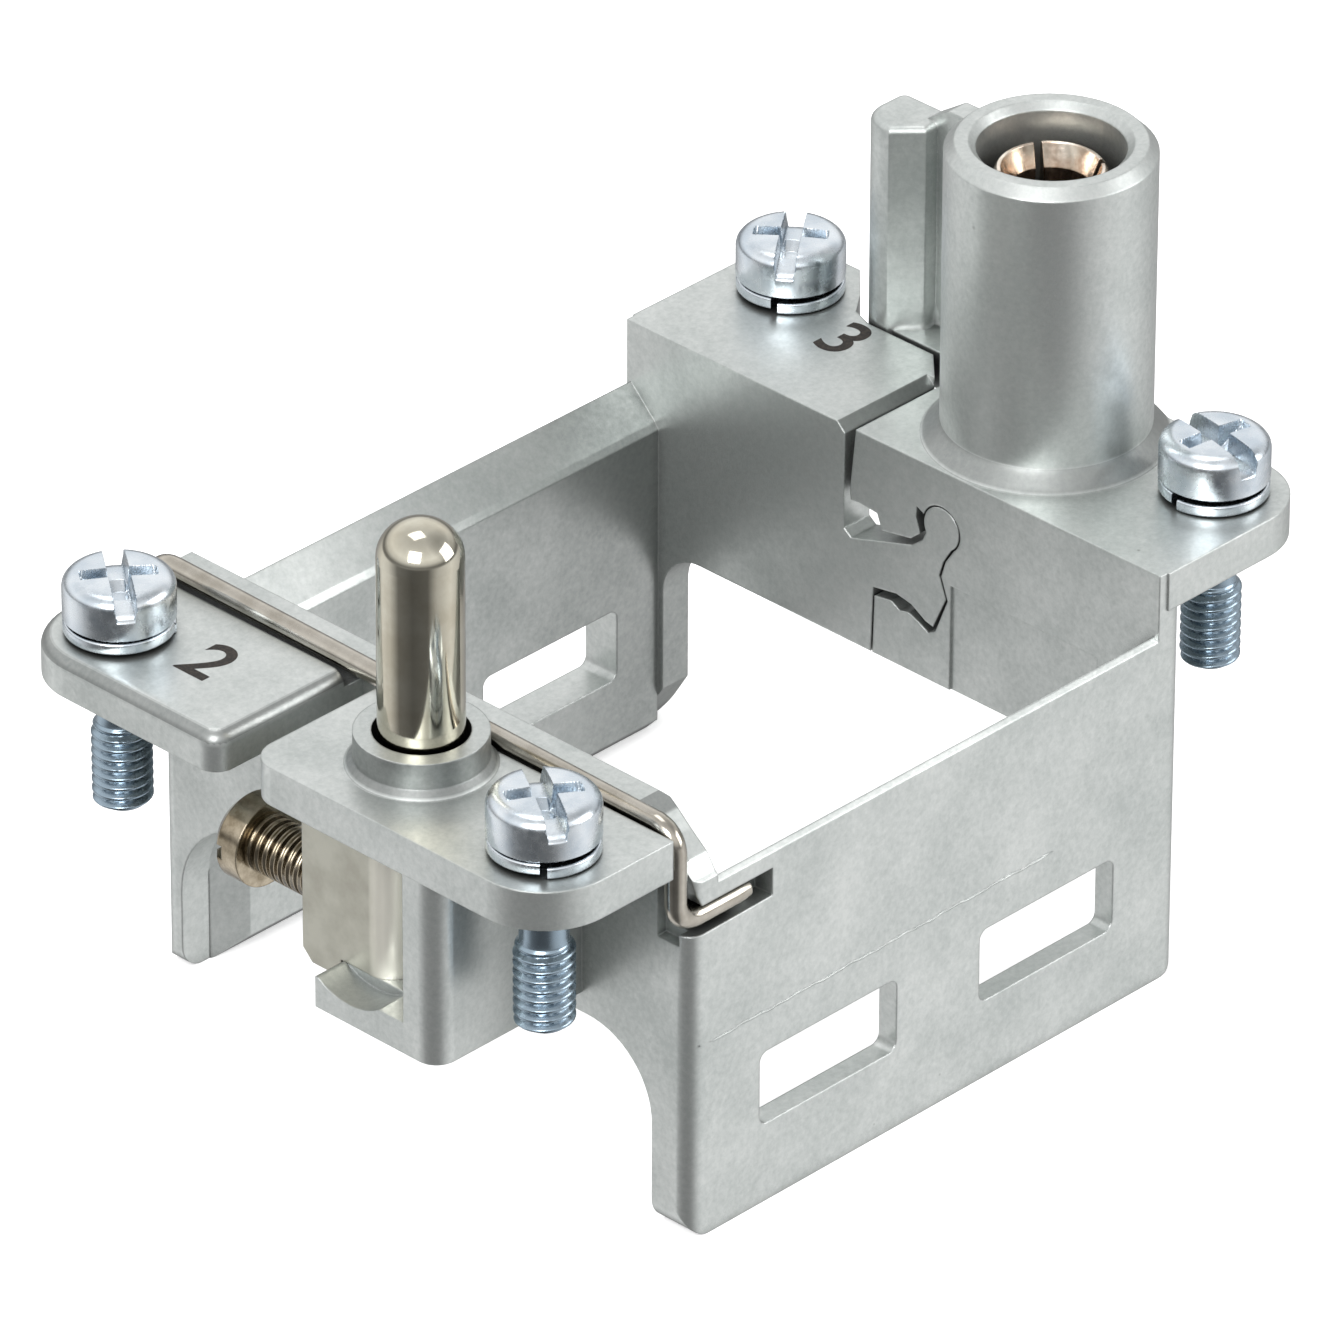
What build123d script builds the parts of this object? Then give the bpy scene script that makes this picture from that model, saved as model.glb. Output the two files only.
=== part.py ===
from build123d import *
import math
import os

os.makedirs("parts", exist_ok=True)

# Hinged module frame of a heavy duty rectangular connector, in millimetres.
# X runs along the frame, Y across it, Z up. It is drawn with Z = 0 on top of the mounting flanges
# and stored with the origin at the centre of the four fixing screws, level with the start of their threads.
# The halves part along a line near Y = 2 and turn on each other about a line parallel to X.

# Fixing screw pattern and flange outline
screw_span_x = 44.0
screw_span_y = 27.0
boss_r = 3.6
flange_t = 2.0
screw_hole_r = 1.6
half_x = screw_span_x / 2
half_y = screw_span_y / 2
flange_end_x = half_x + boss_r
flange_side_y = half_y + boss_r

# Box of the frame below the flanges
wall_x = half_x - 5.75
wall_y = flange_side_y - 0.1
wall_bottom_z = -21.9
wall_top_z = -3.27
end_wall_t = 1.73
rail_t = 2.07
thin_wall_t = 1.1
bay_x = wall_x - end_wall_t
rail_in_y = wall_y - rail_t
front_wall_in_y = wall_y - thin_wall_t
post_in_y = wall_y - 2.4
slim_post_in_y = wall_y - 1.25
corner_r = 0.85
foot_r = 1.3
near_arch_z = -12.55
far_arch_z = -11.52
near_arch_r = 4.0
slim_arch_r = 5.0
far_arch_r = 2.4
ramp_y = wall_y - 3.4

# Latching windows in the side walls
window_w = 9.0
window_h = 3.85
window_pitch_x = 14.5
window_mid_z = -15.79
window_r = 0.5

# Hinge between the halves, drawn in the YZ plane
pivot_y = -3.35
pivot_z = -3.1
knuckle_r = 1.1
knuckle_gap = 0.09

# Parting gaps of the flanges
back_flange_edge_y = 3.6
front_flange_edge_y = 1.6
far_back_edge_y = 2.85
gap_bevel = 0.5
far_front_edge_y = 2.14

# Contact tower and guide post on the far flange
tower_x = half_x - 1.5
tower_y = -4.35
tower_r = 4.98
tower_top_z = 15.5
tower_bore_r = 3.5
contact_seat_r = 2.5
contact_seat_z = 3.0
tower_floor_z = -1.0
contact_r = 2.65
contact_bore_r = 1.95
contact_top_z = 14.1
post_x1 = flange_end_x - 0.1
post_x0 = post_x1 - 3.2
post_y0 = 6.3
post_y1 = 9.6
post_top_z = 10.8
notch_x = post_x0 - 0.15
web_x0 = post_x1 - 1.2
web_foot_z = 10.7
web_top_z = 11.7

# Earth pin, its collar and its terminal on the near flange
pin_x = -half_x + 1.5
pin_y = -4.35
pin_r = 2.0
pin_root_r = 1.75
pin_top_z = 12.4
pin_foot_z = -5.0
dome_r = 1.8
collar_r = 3.1
collar_top_z = 1.7
collar_bore_r = 2.25
block_x0 = -flange_end_x + 0.1
block_y0 = -10.2
block_bottom_z = -11.5
ledge_top_z = -9.9
ledge_y1 = -2.5
cage_y0 = -8.1
cage_x1 = -wall_x - 1.95
trough_y = -4.6
trough_z = -7.05
trough_r = 3.45
terminal_x0 = block_x0 + 1.8
terminal_x1 = cage_x1 - 0.1
terminal_y0 = -5.6
terminal_y1 = 0.1
terminal_foot_z = -10.85
wire_hole_x = terminal_x0 + 2.3
wire_hole_y = -4.05
wire_hole_r = 1.5

# Clamping screw of the earth terminal, along Y
clamp_x = wire_hole_x
clamp_z = -7.75
clamp_head_y = 4.55
clamp_head_t = 1.75
clamp_head_r = 2.15
clamp_shank_r = 1.4

# Latch wire
wire_r = 0.525
wire_x = -wall_x - 0.53
wire_y = wall_y - 0.45
wire_leg_z = -4.95
wire_leg_end_x = wire_x + 4.48
wire_bend = 0.7
wire_front_z = -0.08
wire_back_z = 0.38
groove_x0 = -wall_x - 1.25
groove_x1 = -wall_x + 0.15
groove_floor_z = -0.75

# Fixing screws and split lock washers
washer_r = 2.6
washer_bore_r = 1.62
washer_t = 0.8
head_seat_z = 0.85
head_r = 2.62
head_t = 2.25
neck_r = 1.15
thread_r = 1.42
neck_end_z = -4.6
screw_tip_z = -9.1


def yz(points, x0, x1, mode=Mode.ADD):
    """Prism along X between x0 and x1 on a closed outline of (Y, Z) points."""
    with BuildSketch(Plane.YZ.offset(x0)) as outline:
        with BuildLine():
            Polyline(*points, close=True)
        make_face()
    extrude(outline.sketch, amount=x1 - x0, mode=mode)


def xz(points, y0, y1, mode=Mode.ADD):
    """Prism along Y between y0 and y1 on a closed outline of (X, Z) points."""
    with BuildSketch(Plane.XZ.offset(-y1)) as outline:
        with BuildLine():
            Polyline(*points, close=True)
        make_face()
    extrude(outline.sketch, amount=y1 - y0, mode=mode)


def xy(points, z0, z1, mode=Mode.ADD):
    """Prism along Z between z0 and z1 on a closed outline of (X, Y) points."""
    with BuildSketch(Plane.XY.offset(z0)) as outline:
        with BuildLine():
            Polyline(*points, close=True)
        make_face()
    extrude(outline.sketch, amount=z1 - z0, mode=mode)


def block(x0, x1, y0, y1, z0, z1, mode=Mode.ADD):
    """Box between two corners."""
    with Locations(((x0 + x1) / 2, (y0 + y1) / 2, (z0 + z1) / 2)):
        Box(x1 - x0, y1 - y0, z1 - z0, mode=mode)


def around_pivot(radius, angle_deg):
    """Point (Y, Z) at a radius and angle about the hinge pivot."""
    a = math.radians(angle_deg)
    return (pivot_y + radius * math.cos(a), pivot_z + radius * math.sin(a))


def back_parting(lower_z):
    """Outline of the rear half's share of an end wall: arm, knuckle and parting edge."""
    with BuildSketch() as outline:
        with BuildLine():
            top = Polyline(
                (wall_y, 0.0),
                (far_back_edge_y, 0.0),
                (2.9, -3.9),
                (2.84, -5.6),
                (2.4, -5.92),
                (1.7, -5.72),
                (-1.5, -4.71),
                (-2.15, -4.2),
                around_pivot(knuckle_r, -30),
            )
            RadiusArc(top @ 1, around_pivot(knuckle_r, 90), -knuckle_r)
            RadiusArc(around_pivot(knuckle_r, 90), around_pivot(knuckle_r, 235), -knuckle_r)
            Polyline(
                around_pivot(knuckle_r, 235),
                (-3.5, -4.8),
                (-3.24, -5.64),
                (-3.68, -6.79),
                (-2.9, -8.55),
                (-2.42, -8.44),
                (-1.5, -7.9),
                (-0.55, -7.73),
                (0.94, -7.98),
                (1.45, lower_z),
                (wall_y, lower_z),
                (wall_y, 0.0),
            )
        make_face()
    return outline.sketch


def parting_clearance(lower_z):
    """Outline that the front half leaves free for the rear half, shut and swung open."""
    socket_r = knuckle_r + knuckle_gap
    with BuildSketch() as outline:
        with BuildLine():
            top = Polyline(
                (wall_y + 0.5, 0.5),
                (far_front_edge_y, 0.5),
                (far_front_edge_y, 0.0),
                (2.5, -3.4),
                (2.42, -3.88),
                (1.84, -3.82),
                (0.74, -3.92),
                (0.42, -4.72),
                (-1.42, -4.38),
                (-1.98, -3.9),
                (-1.72, -3.15),
                (-1.78, -2.5),
                around_pivot(socket_r, 18),
            )
            RadiusArc(top @ 1, around_pivot(socket_r, 120), -socket_r)
            RadiusArc(around_pivot(socket_r, 120), around_pivot(socket_r, 228), -socket_r)
            Polyline(
                around_pivot(socket_r, 228),
                (-3.64, -4.75),
                (-3.38, -5.63),
                (-3.81, -6.8),
                (-3.05, -8.75),
                (-2.6, -9.02),
                (-1.95, -8.68),
                (-1.3, -8.44),
                (-0.75, -8.56),
                (-0.2, -8.26),
                (0.84, -8.42),
                (1.33, lower_z - 0.5),
                (wall_y + 0.5, lower_z - 0.5),
                (wall_y + 0.5, 0.5),
            )
        make_face()
    return outline.sketch


def arch(post_y, arch_z, arch_r):
    """Outline of the opening under an end wall, its two upper corners filleted."""
    below_z = wall_bottom_z - 1.0
    with BuildSketch() as outline:
        with BuildLine():
            Polyline(
                (-post_y, below_z),
                (post_y, below_z),
                (post_y, arch_z),
                (-post_y, arch_z),
                (-post_y, below_z),
            )
        make_face()
        upper = outline.vertices().filter_by_position(Axis.Y, arch_z - 0.1, arch_z + 0.1)
        fillet(upper, radius=arch_r)
    return outline.sketch


def end_wall(post_y, arch_z, arch_r):
    """Outline of one end wall: a bridge on two posts."""
    with BuildSketch() as outline:
        with Locations((0, wall_bottom_z / 2)):
            Rectangle(2 * wall_y, -wall_bottom_z)
        add(arch(post_y, arch_z, arch_r), mode=Mode.SUBTRACT)
    return outline.sketch


def wall_crest(side):
    """Upper outline of a side wall, from its outer face over the crest to its inner face."""
    return [
        (side * wall_y, wall_top_z - 0.23),
        (side * (wall_y - 0.25), wall_top_z),
        (side * (wall_y - 1.85), wall_top_z - 1.58),
        (side * rail_in_y, wall_top_z - 1.93),
    ]


def soften_near_crest(y0, y1):
    """Bevel the inner top edge of the near end wall."""
    inner_edge = [(-bay_x - 0.3, 0.0), (-bay_x, -0.3), (-bay_x + 0.2, -0.3), (-bay_x + 0.2, 0.2), (-bay_x - 0.3, 0.2)]
    xz(inner_edge, y0, y1, Mode.SUBTRACT)


def round_outer_corners(side):
    """Round the wall's two upright outer corners and its two feet on one side of the frame."""
    for end in (-1, 1):
        with BuildSketch(Plane.XY.offset(wall_bottom_z - 0.1)) as upright:
            with Locations((end * (wall_x - corner_r / 2 + 0.05), side * (wall_y - corner_r / 2 + 0.05))):
                Rectangle(corner_r + 0.1, corner_r + 0.1)
            with Locations((end * (wall_x - corner_r), side * (wall_y - corner_r))):
                Circle(corner_r, mode=Mode.SUBTRACT)
        extrude(upright.sketch, amount=-wall_bottom_z - flange_t, mode=Mode.SUBTRACT)
        with BuildSketch(Plane.XZ.offset(-wall_y - 1 if side > 0 else wall_y - 4)) as foot:
            with Locations((end * (wall_x - foot_r / 2 + 0.05), wall_bottom_z + foot_r / 2 - 0.05)):
                Rectangle(foot_r + 0.1, foot_r + 0.1)
            with Locations((end * (wall_x - foot_r), wall_bottom_z + foot_r)):
                Circle(foot_r, mode=Mode.SUBTRACT)
        extrude(foot.sketch, amount=5.0, mode=Mode.SUBTRACT)


def cut_windows(side):
    """Two latching windows through one side wall."""
    with BuildSketch(Plane.XZ.offset(-wall_y - 1 if side > 0 else wall_y - 4)) as openings:
        with Locations((-window_pitch_x / 2, window_mid_z), (window_pitch_x / 2, window_mid_z)):
            RectangleRounded(window_w, window_h, window_r)
    extrude(openings.sketch, amount=5.0, mode=Mode.SUBTRACT)


def cut_latch_recess(side):
    """Slot for the latch wire: down past the corner and along the side wall."""
    y0, y1 = sorted((side * (wire_y - wire_r - 0.12), side * (wall_y + 0.6)))
    slot_low_z = wire_leg_z - 0.8
    slot_high_z = wire_leg_z + 0.65
    slot = [
        (groove_x0, 0.6),
        (groove_x0, slot_low_z - 0.1),
        (-wall_x, slot_low_z - 0.1),
        (wire_leg_end_x + 1.3, slot_low_z),
        (wire_leg_end_x + 1.3, slot_high_z),
        (wire_x + 1.25, slot_high_z),
        (wire_x + 1.0, -3.76),
        (groove_x1, -2.4),
        (groove_x1, 0.6),
    ]
    xz(slot, y0, y1, Mode.SUBTRACT)
    y0, y1 = sorted((side * (wire_y - 1.65), side * (wire_y - 0.3)))
    block(groove_x0, wire_x + 1.1, y0, y1, slot_low_z - 0.7, -flange_t, Mode.SUBTRACT)
    y0, y1 = sorted((side * (wire_y - 0.95), side * wire_y))
    block(groove_x0, groove_x1, y0, y1, groove_floor_z - 0.6, 0.6, Mode.SUBTRACT)


# Rear half: side wall, shares of both end walls, two flanges
with BuildPart() as back_half:
    wall = [(wall_y, wall_bottom_z)]
    wall += wall_crest(1)
    wall += [(rail_in_y, wall_bottom_z + 0.75), (rail_in_y + 0.72, wall_bottom_z)]
    yz(wall, -wall_x, wall_x)
    # The near post is slim, and the wall runs out to its thickness
    with BuildSketch(Plane.YZ.offset(-wall_x)):
        add(arch(slim_post_in_y, near_arch_z, slim_arch_r))
    extrude(amount=end_wall_t, mode=Mode.SUBTRACT)
    run_out = [(-bay_x - 0.1, rail_in_y - 1), (-bay_x - 0.1, slim_post_in_y), (-bay_x + 2.0, rail_in_y - 0.05)]
    xy(run_out, wall_bottom_z - 1, near_arch_z - 2.5, Mode.SUBTRACT)
    with BuildSketch(Plane.YZ.offset(-wall_x)):
        add(end_wall(slim_post_in_y, near_arch_z, slim_arch_r))
        add(back_parting(wall_bottom_z - 1), mode=Mode.INTERSECT)
    extrude(amount=end_wall_t)
    with BuildSketch(Plane.YZ.offset(bay_x)):
        add(end_wall(post_in_y, far_arch_z, far_arch_r))
        add(back_parting(wall_bottom_z - 1), mode=Mode.INTERSECT)
    extrude(amount=end_wall_t)
    # The far post's foot is cut away on its inner side
    foot_cut = [
        (post_in_y - 0.1, wall_bottom_z + 2.75),
        (wall_y - 0.8, wall_bottom_z),
        (wall_y - 0.8, wall_bottom_z - 0.2),
        (post_in_y - 0.1, wall_bottom_z - 0.2),
    ]
    yz(foot_cut, bay_x, wall_x + 0.1, Mode.SUBTRACT)
    # Near flange, square to the parting gap and rounded about its screw
    with BuildSketch(Plane.XY.offset(-flange_t)):
        with BuildLine():
            Polyline(
                (-bay_x - 0.5, back_flange_edge_y),
                (-flange_end_x, back_flange_edge_y),
                (-flange_end_x, flange_side_y),
                (-bay_x - 0.5, flange_side_y),
                close=True,
            )
        make_face()
        fillet([v for v in vertices() if v.X < 0.1 - flange_end_x and v.Y > half_y], radius=boss_r)
        fillet([v for v in vertices() if v.X < 0.1 - flange_end_x and v.Y < half_y / 2], radius=1.0)
    extrude(amount=flange_t)
    # Far flange, notched round the guide post
    with BuildSketch(Plane.XY.offset(-flange_t)):
        with BuildLine():
            Polyline(
                (bay_x + 0.5, far_back_edge_y),
                (notch_x - 1.55, far_back_edge_y),
                (notch_x, post_y0 - 1.9),
                (notch_x, post_y1 - 1.05),
                (notch_x + 0.45, post_y1 + 0.2),
                (notch_x + 1.8, post_y1 + 1.2),
                (flange_end_x, post_y1 + 2.8),
                (flange_end_x, flange_side_y),
                (bay_x + 0.5, flange_side_y),
                close=True,
            )
        make_face()
        tip = [v for v in vertices() if v.X > flange_end_x - 0.1 and v.Y > half_y]
        fillet(tip, radius=boss_r)
    extrude(amount=flange_t)
    # Bevel along the parting gap of the far flange
    bevel = [
        (far_back_edge_y - 0.3, 0.1),
        (far_back_edge_y + gap_bevel, 0.1),
        (far_back_edge_y + gap_bevel, 0.0),
        (far_back_edge_y, -gap_bevel),
        (far_back_edge_y - 0.3, -gap_bevel),
    ]
    yz(bevel, bay_x - 0.1, notch_x - 1.55, Mode.SUBTRACT)
    # Shallow channel for the latch wire across the near flange
    block(groove_x0, groove_x1, 2.0, wall_y + 1, groove_floor_z, 0.6, Mode.SUBTRACT)
    cut_latch_recess(1)
    near_corner = [(wall_y - 0.9, 0.1), (wall_y + 0.2, 0.1), (wall_y + 0.2, -1.0)]
    yz(near_corner, groove_x1, -bay_x + 0.1, Mode.SUBTRACT)
    soften_near_crest(0.0, wall_y + 0.2)
    cut_windows(1)
    round_outer_corners(1)
    # Screw holes
    with Locations((-half_x, half_y, 0), (half_x, half_y, 0)):
        Cylinder(screw_hole_r, 6.0, mode=Mode.SUBTRACT)
    end_edges = back_half.edges().filter_by(Axis.Y).group_by(Axis.X)[0]
    fillet([e for e in end_edges if abs(e.center().Z) < 0.01], radius=0.7)

# Front half: side wall, shares of both end walls, earth pin platform, contact tower
with BuildPart() as front_half:
    wall = [(-wall_y, wall_bottom_z)]
    wall += wall_crest(-1)
    wall += [(-rail_in_y, -7.4), (-front_wall_in_y, -9.6), (-front_wall_in_y, wall_bottom_z)]
    yz(wall, -wall_x, wall_x)
    for x0, arch_z, arch_r in ((-wall_x, near_arch_z, near_arch_r), (bay_x, far_arch_z, far_arch_r)):
        with BuildSketch(Plane.YZ.offset(x0)):
            add(end_wall(post_in_y, arch_z, arch_r))
            add(parting_clearance(wall_bottom_z - 1), mode=Mode.SUBTRACT)
        extrude(amount=end_wall_t)
    # Flank between the far end wall and the side wall's lower crest
    block(bay_x + 0.23, wall_x, -wall_y, -post_in_y + 0.1, wall_top_z - 0.6, -0.5)
    # The far wall's inner face steps back below its upper band
    block(bay_x - 0.1, bay_x + 0.12, -wall_y + 3.8, -4.0, far_arch_z - 0.1, -5.9, Mode.SUBTRACT)
    # Near platform
    with BuildSketch(Plane.XY.offset(-flange_t)):
        with BuildLine():
            Polyline(
                (-bay_x - 0.5, front_flange_edge_y),
                (-flange_end_x, front_flange_edge_y),
                (-flange_end_x, -flange_side_y),
                (-bay_x - 0.5, -flange_side_y),
                close=True,
            )
        make_face()
        fillet([v for v in vertices() if v.X < 0.1 - flange_end_x and v.Y > 0], radius=1.5)
        fillet([v for v in vertices() if v.X < 0.1 - flange_end_x and v.Y < 0], radius=boss_r)
    extrude(amount=flange_t)
    # Far platform, running out to the foot of the guide post
    with BuildSketch(Plane.XY.offset(-flange_t)):
        with BuildLine():
            Polyline(
                (bay_x + 0.5, far_front_edge_y),
                (notch_x - 1.75, far_front_edge_y),
                (post_x0 + 0.2, post_y0 - 2.0),
                (post_x0 + 0.2, post_y0 + 1.0),
                (post_x1, post_y0 + 1.0),
                (post_x1, -flange_side_y),
                (bay_x + 0.5, -flange_side_y),
                close=True,
            )
        make_face()
        fillet([v for v in vertices() if v.X > post_x1 - 0.1 and v.Y < 0], radius=boss_r)
    extrude(amount=flange_t)
    # Guide post with one chamfered and one rounded upright edge
    with BuildSketch(Plane.XY.offset(-flange_t)) as post_plan:
        with BuildLine():
            Polyline(
                (post_x0 + 1.25, post_y0),
                (post_x1, post_y0),
                (post_x1, post_y1),
                (post_x0, post_y1),
                (post_x0, post_y0 + 1.25),
                close=True,
            )
        make_face()
        fillet([v for v in vertices() if v.X < post_x0 + 0.1 and v.Y > post_y1 - 0.1], radius=1.55)
        fillet([v for v in vertices() if v.X > post_x1 - 0.1 and v.Y > post_y1 - 0.1], radius=0.5)
    extrude(amount=flange_t + post_top_z)
    top_rim = front_half.faces().sort_by(Axis.Z)[-1].edges()
    fillet(top_rim, radius=0.35)
    # Web from the post to the tower, rising towards the tower
    web = [
        (tower_y + 3.3, -flange_t),
        (post_y0 + 0.8, -flange_t),
        (post_y0 + 0.8, web_foot_z),
        (post_y0 - 0.7, web_top_z),
        (tower_y + 3.3, web_top_z),
    ]
    yz(web, web_x0, post_x1)
    # Contact tower: rim chamfer, foot fillet, stepped bore
    with BuildSketch(Plane.XZ.offset(-tower_y)):
        with BuildLine():
            Polyline(
                (tower_x, -flange_t),
                (tower_x + tower_r, -flange_t),
                (tower_x + tower_r, tower_top_z - 0.5),
                (tower_x + tower_r - 0.5, tower_top_z),
                (tower_x, tower_top_z),
                close=True,
            )
        make_face()
    revolve(axis=Axis((tower_x, tower_y, 0), (0, 0, 1)))
    with Locations((tower_x, tower_y, 0.45)):
        Cone(tower_r + 0.9, tower_r, 0.9)
    foot_y0 = tower_y - tower_r - 0.7
    foot_y1 = tower_y + tower_r + 0.4
    block(post_x1, post_x1 + 2, foot_y0, foot_y1, -flange_t - 0.5, 1.2, Mode.SUBTRACT)
    hang = (Align.CENTER, Align.CENTER, Align.MAX)
    with Locations((tower_x, tower_y, tower_top_z)):
        Cylinder(tower_bore_r, tower_top_z - contact_seat_z, align=hang, mode=Mode.SUBTRACT)
        Cylinder(contact_seat_r, tower_top_z - tower_floor_z, align=hang, mode=Mode.SUBTRACT)
    with Locations((tower_x, tower_y, tower_top_z - 0.175)):
        Cone(tower_bore_r, tower_bore_r + 0.35, 0.35, mode=Mode.SUBTRACT)
    # Collar of the earth pin
    with Locations((pin_x, pin_y, collar_top_z / 2)):
        Cylinder(collar_r, collar_top_z)
    with Locations((pin_x, pin_y, 0.2)):
        Cone(collar_r + 0.4, collar_r, 0.4)
    # Terminal housing: ledge, side wall and root under the near platform
    block(block_x0, -wall_x + 0.1, block_y0, terminal_y1, block_bottom_z, -flange_t + 0.05)
    block(block_x0 - 0.1, cage_x1, cage_y0, terminal_y1 + 0.1, ledge_top_z, -flange_t, Mode.SUBTRACT)
    block(block_x0 - 0.1, cage_x1, ledge_y1, terminal_y1 + 0.1, block_bottom_z - 0.1, ledge_top_z + 0.1, Mode.SUBTRACT)
    with Locations(((block_x0 + terminal_x0) / 2, trough_y, trough_z)):
        Cylinder(trough_r, terminal_x0 - block_x0 + 0.1, rotation=(0, 90, 0), mode=Mode.SUBTRACT)
    with Locations((wire_hole_x, wire_hole_y, block_bottom_z)):
        Cylinder(wire_hole_r + 0.35, 6.0, mode=Mode.SUBTRACT)
    # Room for the rear half's arm and knuckle to turn past the housing root
    with BuildSketch(Plane.YZ.offset(-wall_x - 0.2)):
        add(parting_clearance(wall_bottom_z - 1))
    extrude(amount=0.3, mode=Mode.SUBTRACT)
    with Locations((pin_x, pin_y, 0)):
        Cylinder(collar_bore_r, 8.0, mode=Mode.SUBTRACT)
    # Latch wire channel and slot, windows, screw holes
    block(groove_x0, groove_x1, -wall_y - 1, 2.2, groove_floor_z, 0.6, Mode.SUBTRACT)
    cut_latch_recess(-1)
    # Ramp from the near end wall's crest down to the side wall's crest
    ramp = [
        (-wall_y - 0.2, wall_top_z),
        (-wall_y + 0.2, wall_top_z + 0.37),
        (-wall_y + 0.7, wall_top_z + 1.11),
        (-wall_y + 1.7, wall_top_z + 1.91),
        (-ramp_y - 0.9, wall_top_z + 2.61),
        (-ramp_y, 0.0),
        (-ramp_y, 0.3),
        (-wall_y - 0.2, 0.3),
    ]
    yz(ramp, groove_x1 - 0.1, -bay_x + 0.1, Mode.SUBTRACT)
    soften_near_crest(-wall_y, 2.2)
    cut_windows(-1)
    round_outer_corners(-1)
    with Locations((-half_x, -half_y, 0), (half_x, -half_y, 0)):
        Cylinder(screw_hole_r, 6.0, mode=Mode.SUBTRACT)
    # Rounded upright edge of the housing
    rim = [
        e
        for e in front_half.edges().filter_by(Axis.Z)
        if abs(e.center().X - block_x0) < 0.05 and abs(e.center().Y - block_y0) < 0.05
    ]
    fillet(rim, radius=1.1)

# Earth pin with a domed end and a thinner root
with BuildPart() as pe_pin:
    with BuildSketch(Plane.XZ.offset(-pin_y)):
        with BuildLine():
            Polyline(
                (pin_x, pin_foot_z),
                (pin_x + pin_root_r, pin_foot_z),
                (pin_x + pin_root_r, collar_top_z),
                (pin_x + pin_r, collar_top_z),
                (pin_x + pin_r, pin_top_z - dome_r),
            )
            CenterArc((pin_x + pin_r - dome_r, pin_top_z - dome_r), dome_r, 0, 90)
            Polyline((pin_x + pin_r - dome_r, pin_top_z), (pin_x, pin_top_z), (pin_x, pin_foot_z))
        make_face()
    revolve(axis=Axis((pin_x, pin_y, 0), (0, 0, 1)))

# Terminal body that takes the pin's root and the earth wire
with BuildPart() as pe_terminal_body:
    block(terminal_x0, terminal_x1, terminal_y0, terminal_y1, ledge_top_z, -flange_t)
    upright = [
        e
        for e in pe_terminal_body.edges().filter_by(Axis.Z)
        if e.center().X < terminal_x0 + 0.1
    ]
    fillet([e for e in upright if e.center().Y < terminal_y0 + 0.1], radius=1.3)
    block(terminal_x0, terminal_x1, ledge_y1 + 0.15, terminal_y1, terminal_foot_z, ledge_top_z + 0.1)
    foot = [e for e in pe_terminal_body.edges().filter_by(Axis.X) if e.center().Z < terminal_foot_z + 0.1]
    chamfer([e for e in foot if e.center().Y > 0], length=0.6)
    with Locations((clamp_x, terminal_y1, clamp_z)):
        Cylinder(clamp_shank_r + 0.04, 8.0, rotation=(90, 0, 0), mode=Mode.SUBTRACT)
    with Locations((pin_x, pin_y, -flange_t)):
        Cylinder(pin_root_r, -2 * (pin_foot_z + flange_t), mode=Mode.SUBTRACT)
    with Locations((wire_hole_x, wire_hole_y, ledge_top_z)):
        Cylinder(wire_hole_r, 8.0, mode=Mode.SUBTRACT)

# Clamping screw: slotted round head, shank into the terminal body
with BuildPart() as pe_clamp_screw:
    with BuildSketch(Plane.XY.offset(clamp_z)):
        with BuildLine():
            Polyline(
                (clamp_x, -2.4),
                (clamp_x + clamp_shank_r - 0.4, -2.4),
                (clamp_x + clamp_shank_r, -2.0),
                (clamp_x + clamp_shank_r, clamp_head_y),
                (clamp_x + clamp_head_r, clamp_head_y),
                (clamp_x + clamp_head_r, clamp_head_y + clamp_head_t - 0.5),
                (clamp_x + clamp_head_r - 0.5, clamp_head_y + clamp_head_t),
                (clamp_x, clamp_head_y + clamp_head_t),
                close=True,
            )
        make_face()
    revolve(axis=Axis((clamp_x, 0, clamp_z), (0, 1, 0)))
    block(clamp_x - 3, clamp_x + 3, clamp_head_y + clamp_head_t - 0.8, 9.0, clamp_z - 0.35, clamp_z + 0.35, Mode.SUBTRACT)

# Slotted contact sleeve in the tower
with BuildPart() as pe_socket_contact:
    with BuildSketch(Plane.XZ.offset(-tower_y)):
        with BuildLine():
            Polyline(
                (tower_x, tower_floor_z + 0.05),
                (tower_x + contact_seat_r, tower_floor_z + 0.05),
                (tower_x + contact_seat_r, contact_seat_z + 1.0),
                (tower_x + contact_r, contact_seat_z + 1.2),
                (tower_x + contact_r, contact_top_z - 0.2),
                (tower_x + contact_r - 0.15, contact_top_z),
                (tower_x + contact_bore_r + 0.4, contact_top_z),
                (tower_x + contact_bore_r, contact_top_z - 1.1),
                (tower_x + contact_bore_r, contact_seat_z),
                (tower_x, contact_seat_z),
                close=True,
            )
        make_face()
    revolve(axis=Axis((tower_x, tower_y, 0), (0, 0, 1)))
    with Locations((tower_x, tower_y, contact_top_z)):
        Box(8.0, 0.4, 15.0, rotation=(0, 0, 58), mode=Mode.SUBTRACT)
        Box(8.0, 0.4, 15.0, rotation=(0, 0, -32), mode=Mode.SUBTRACT)

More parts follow.
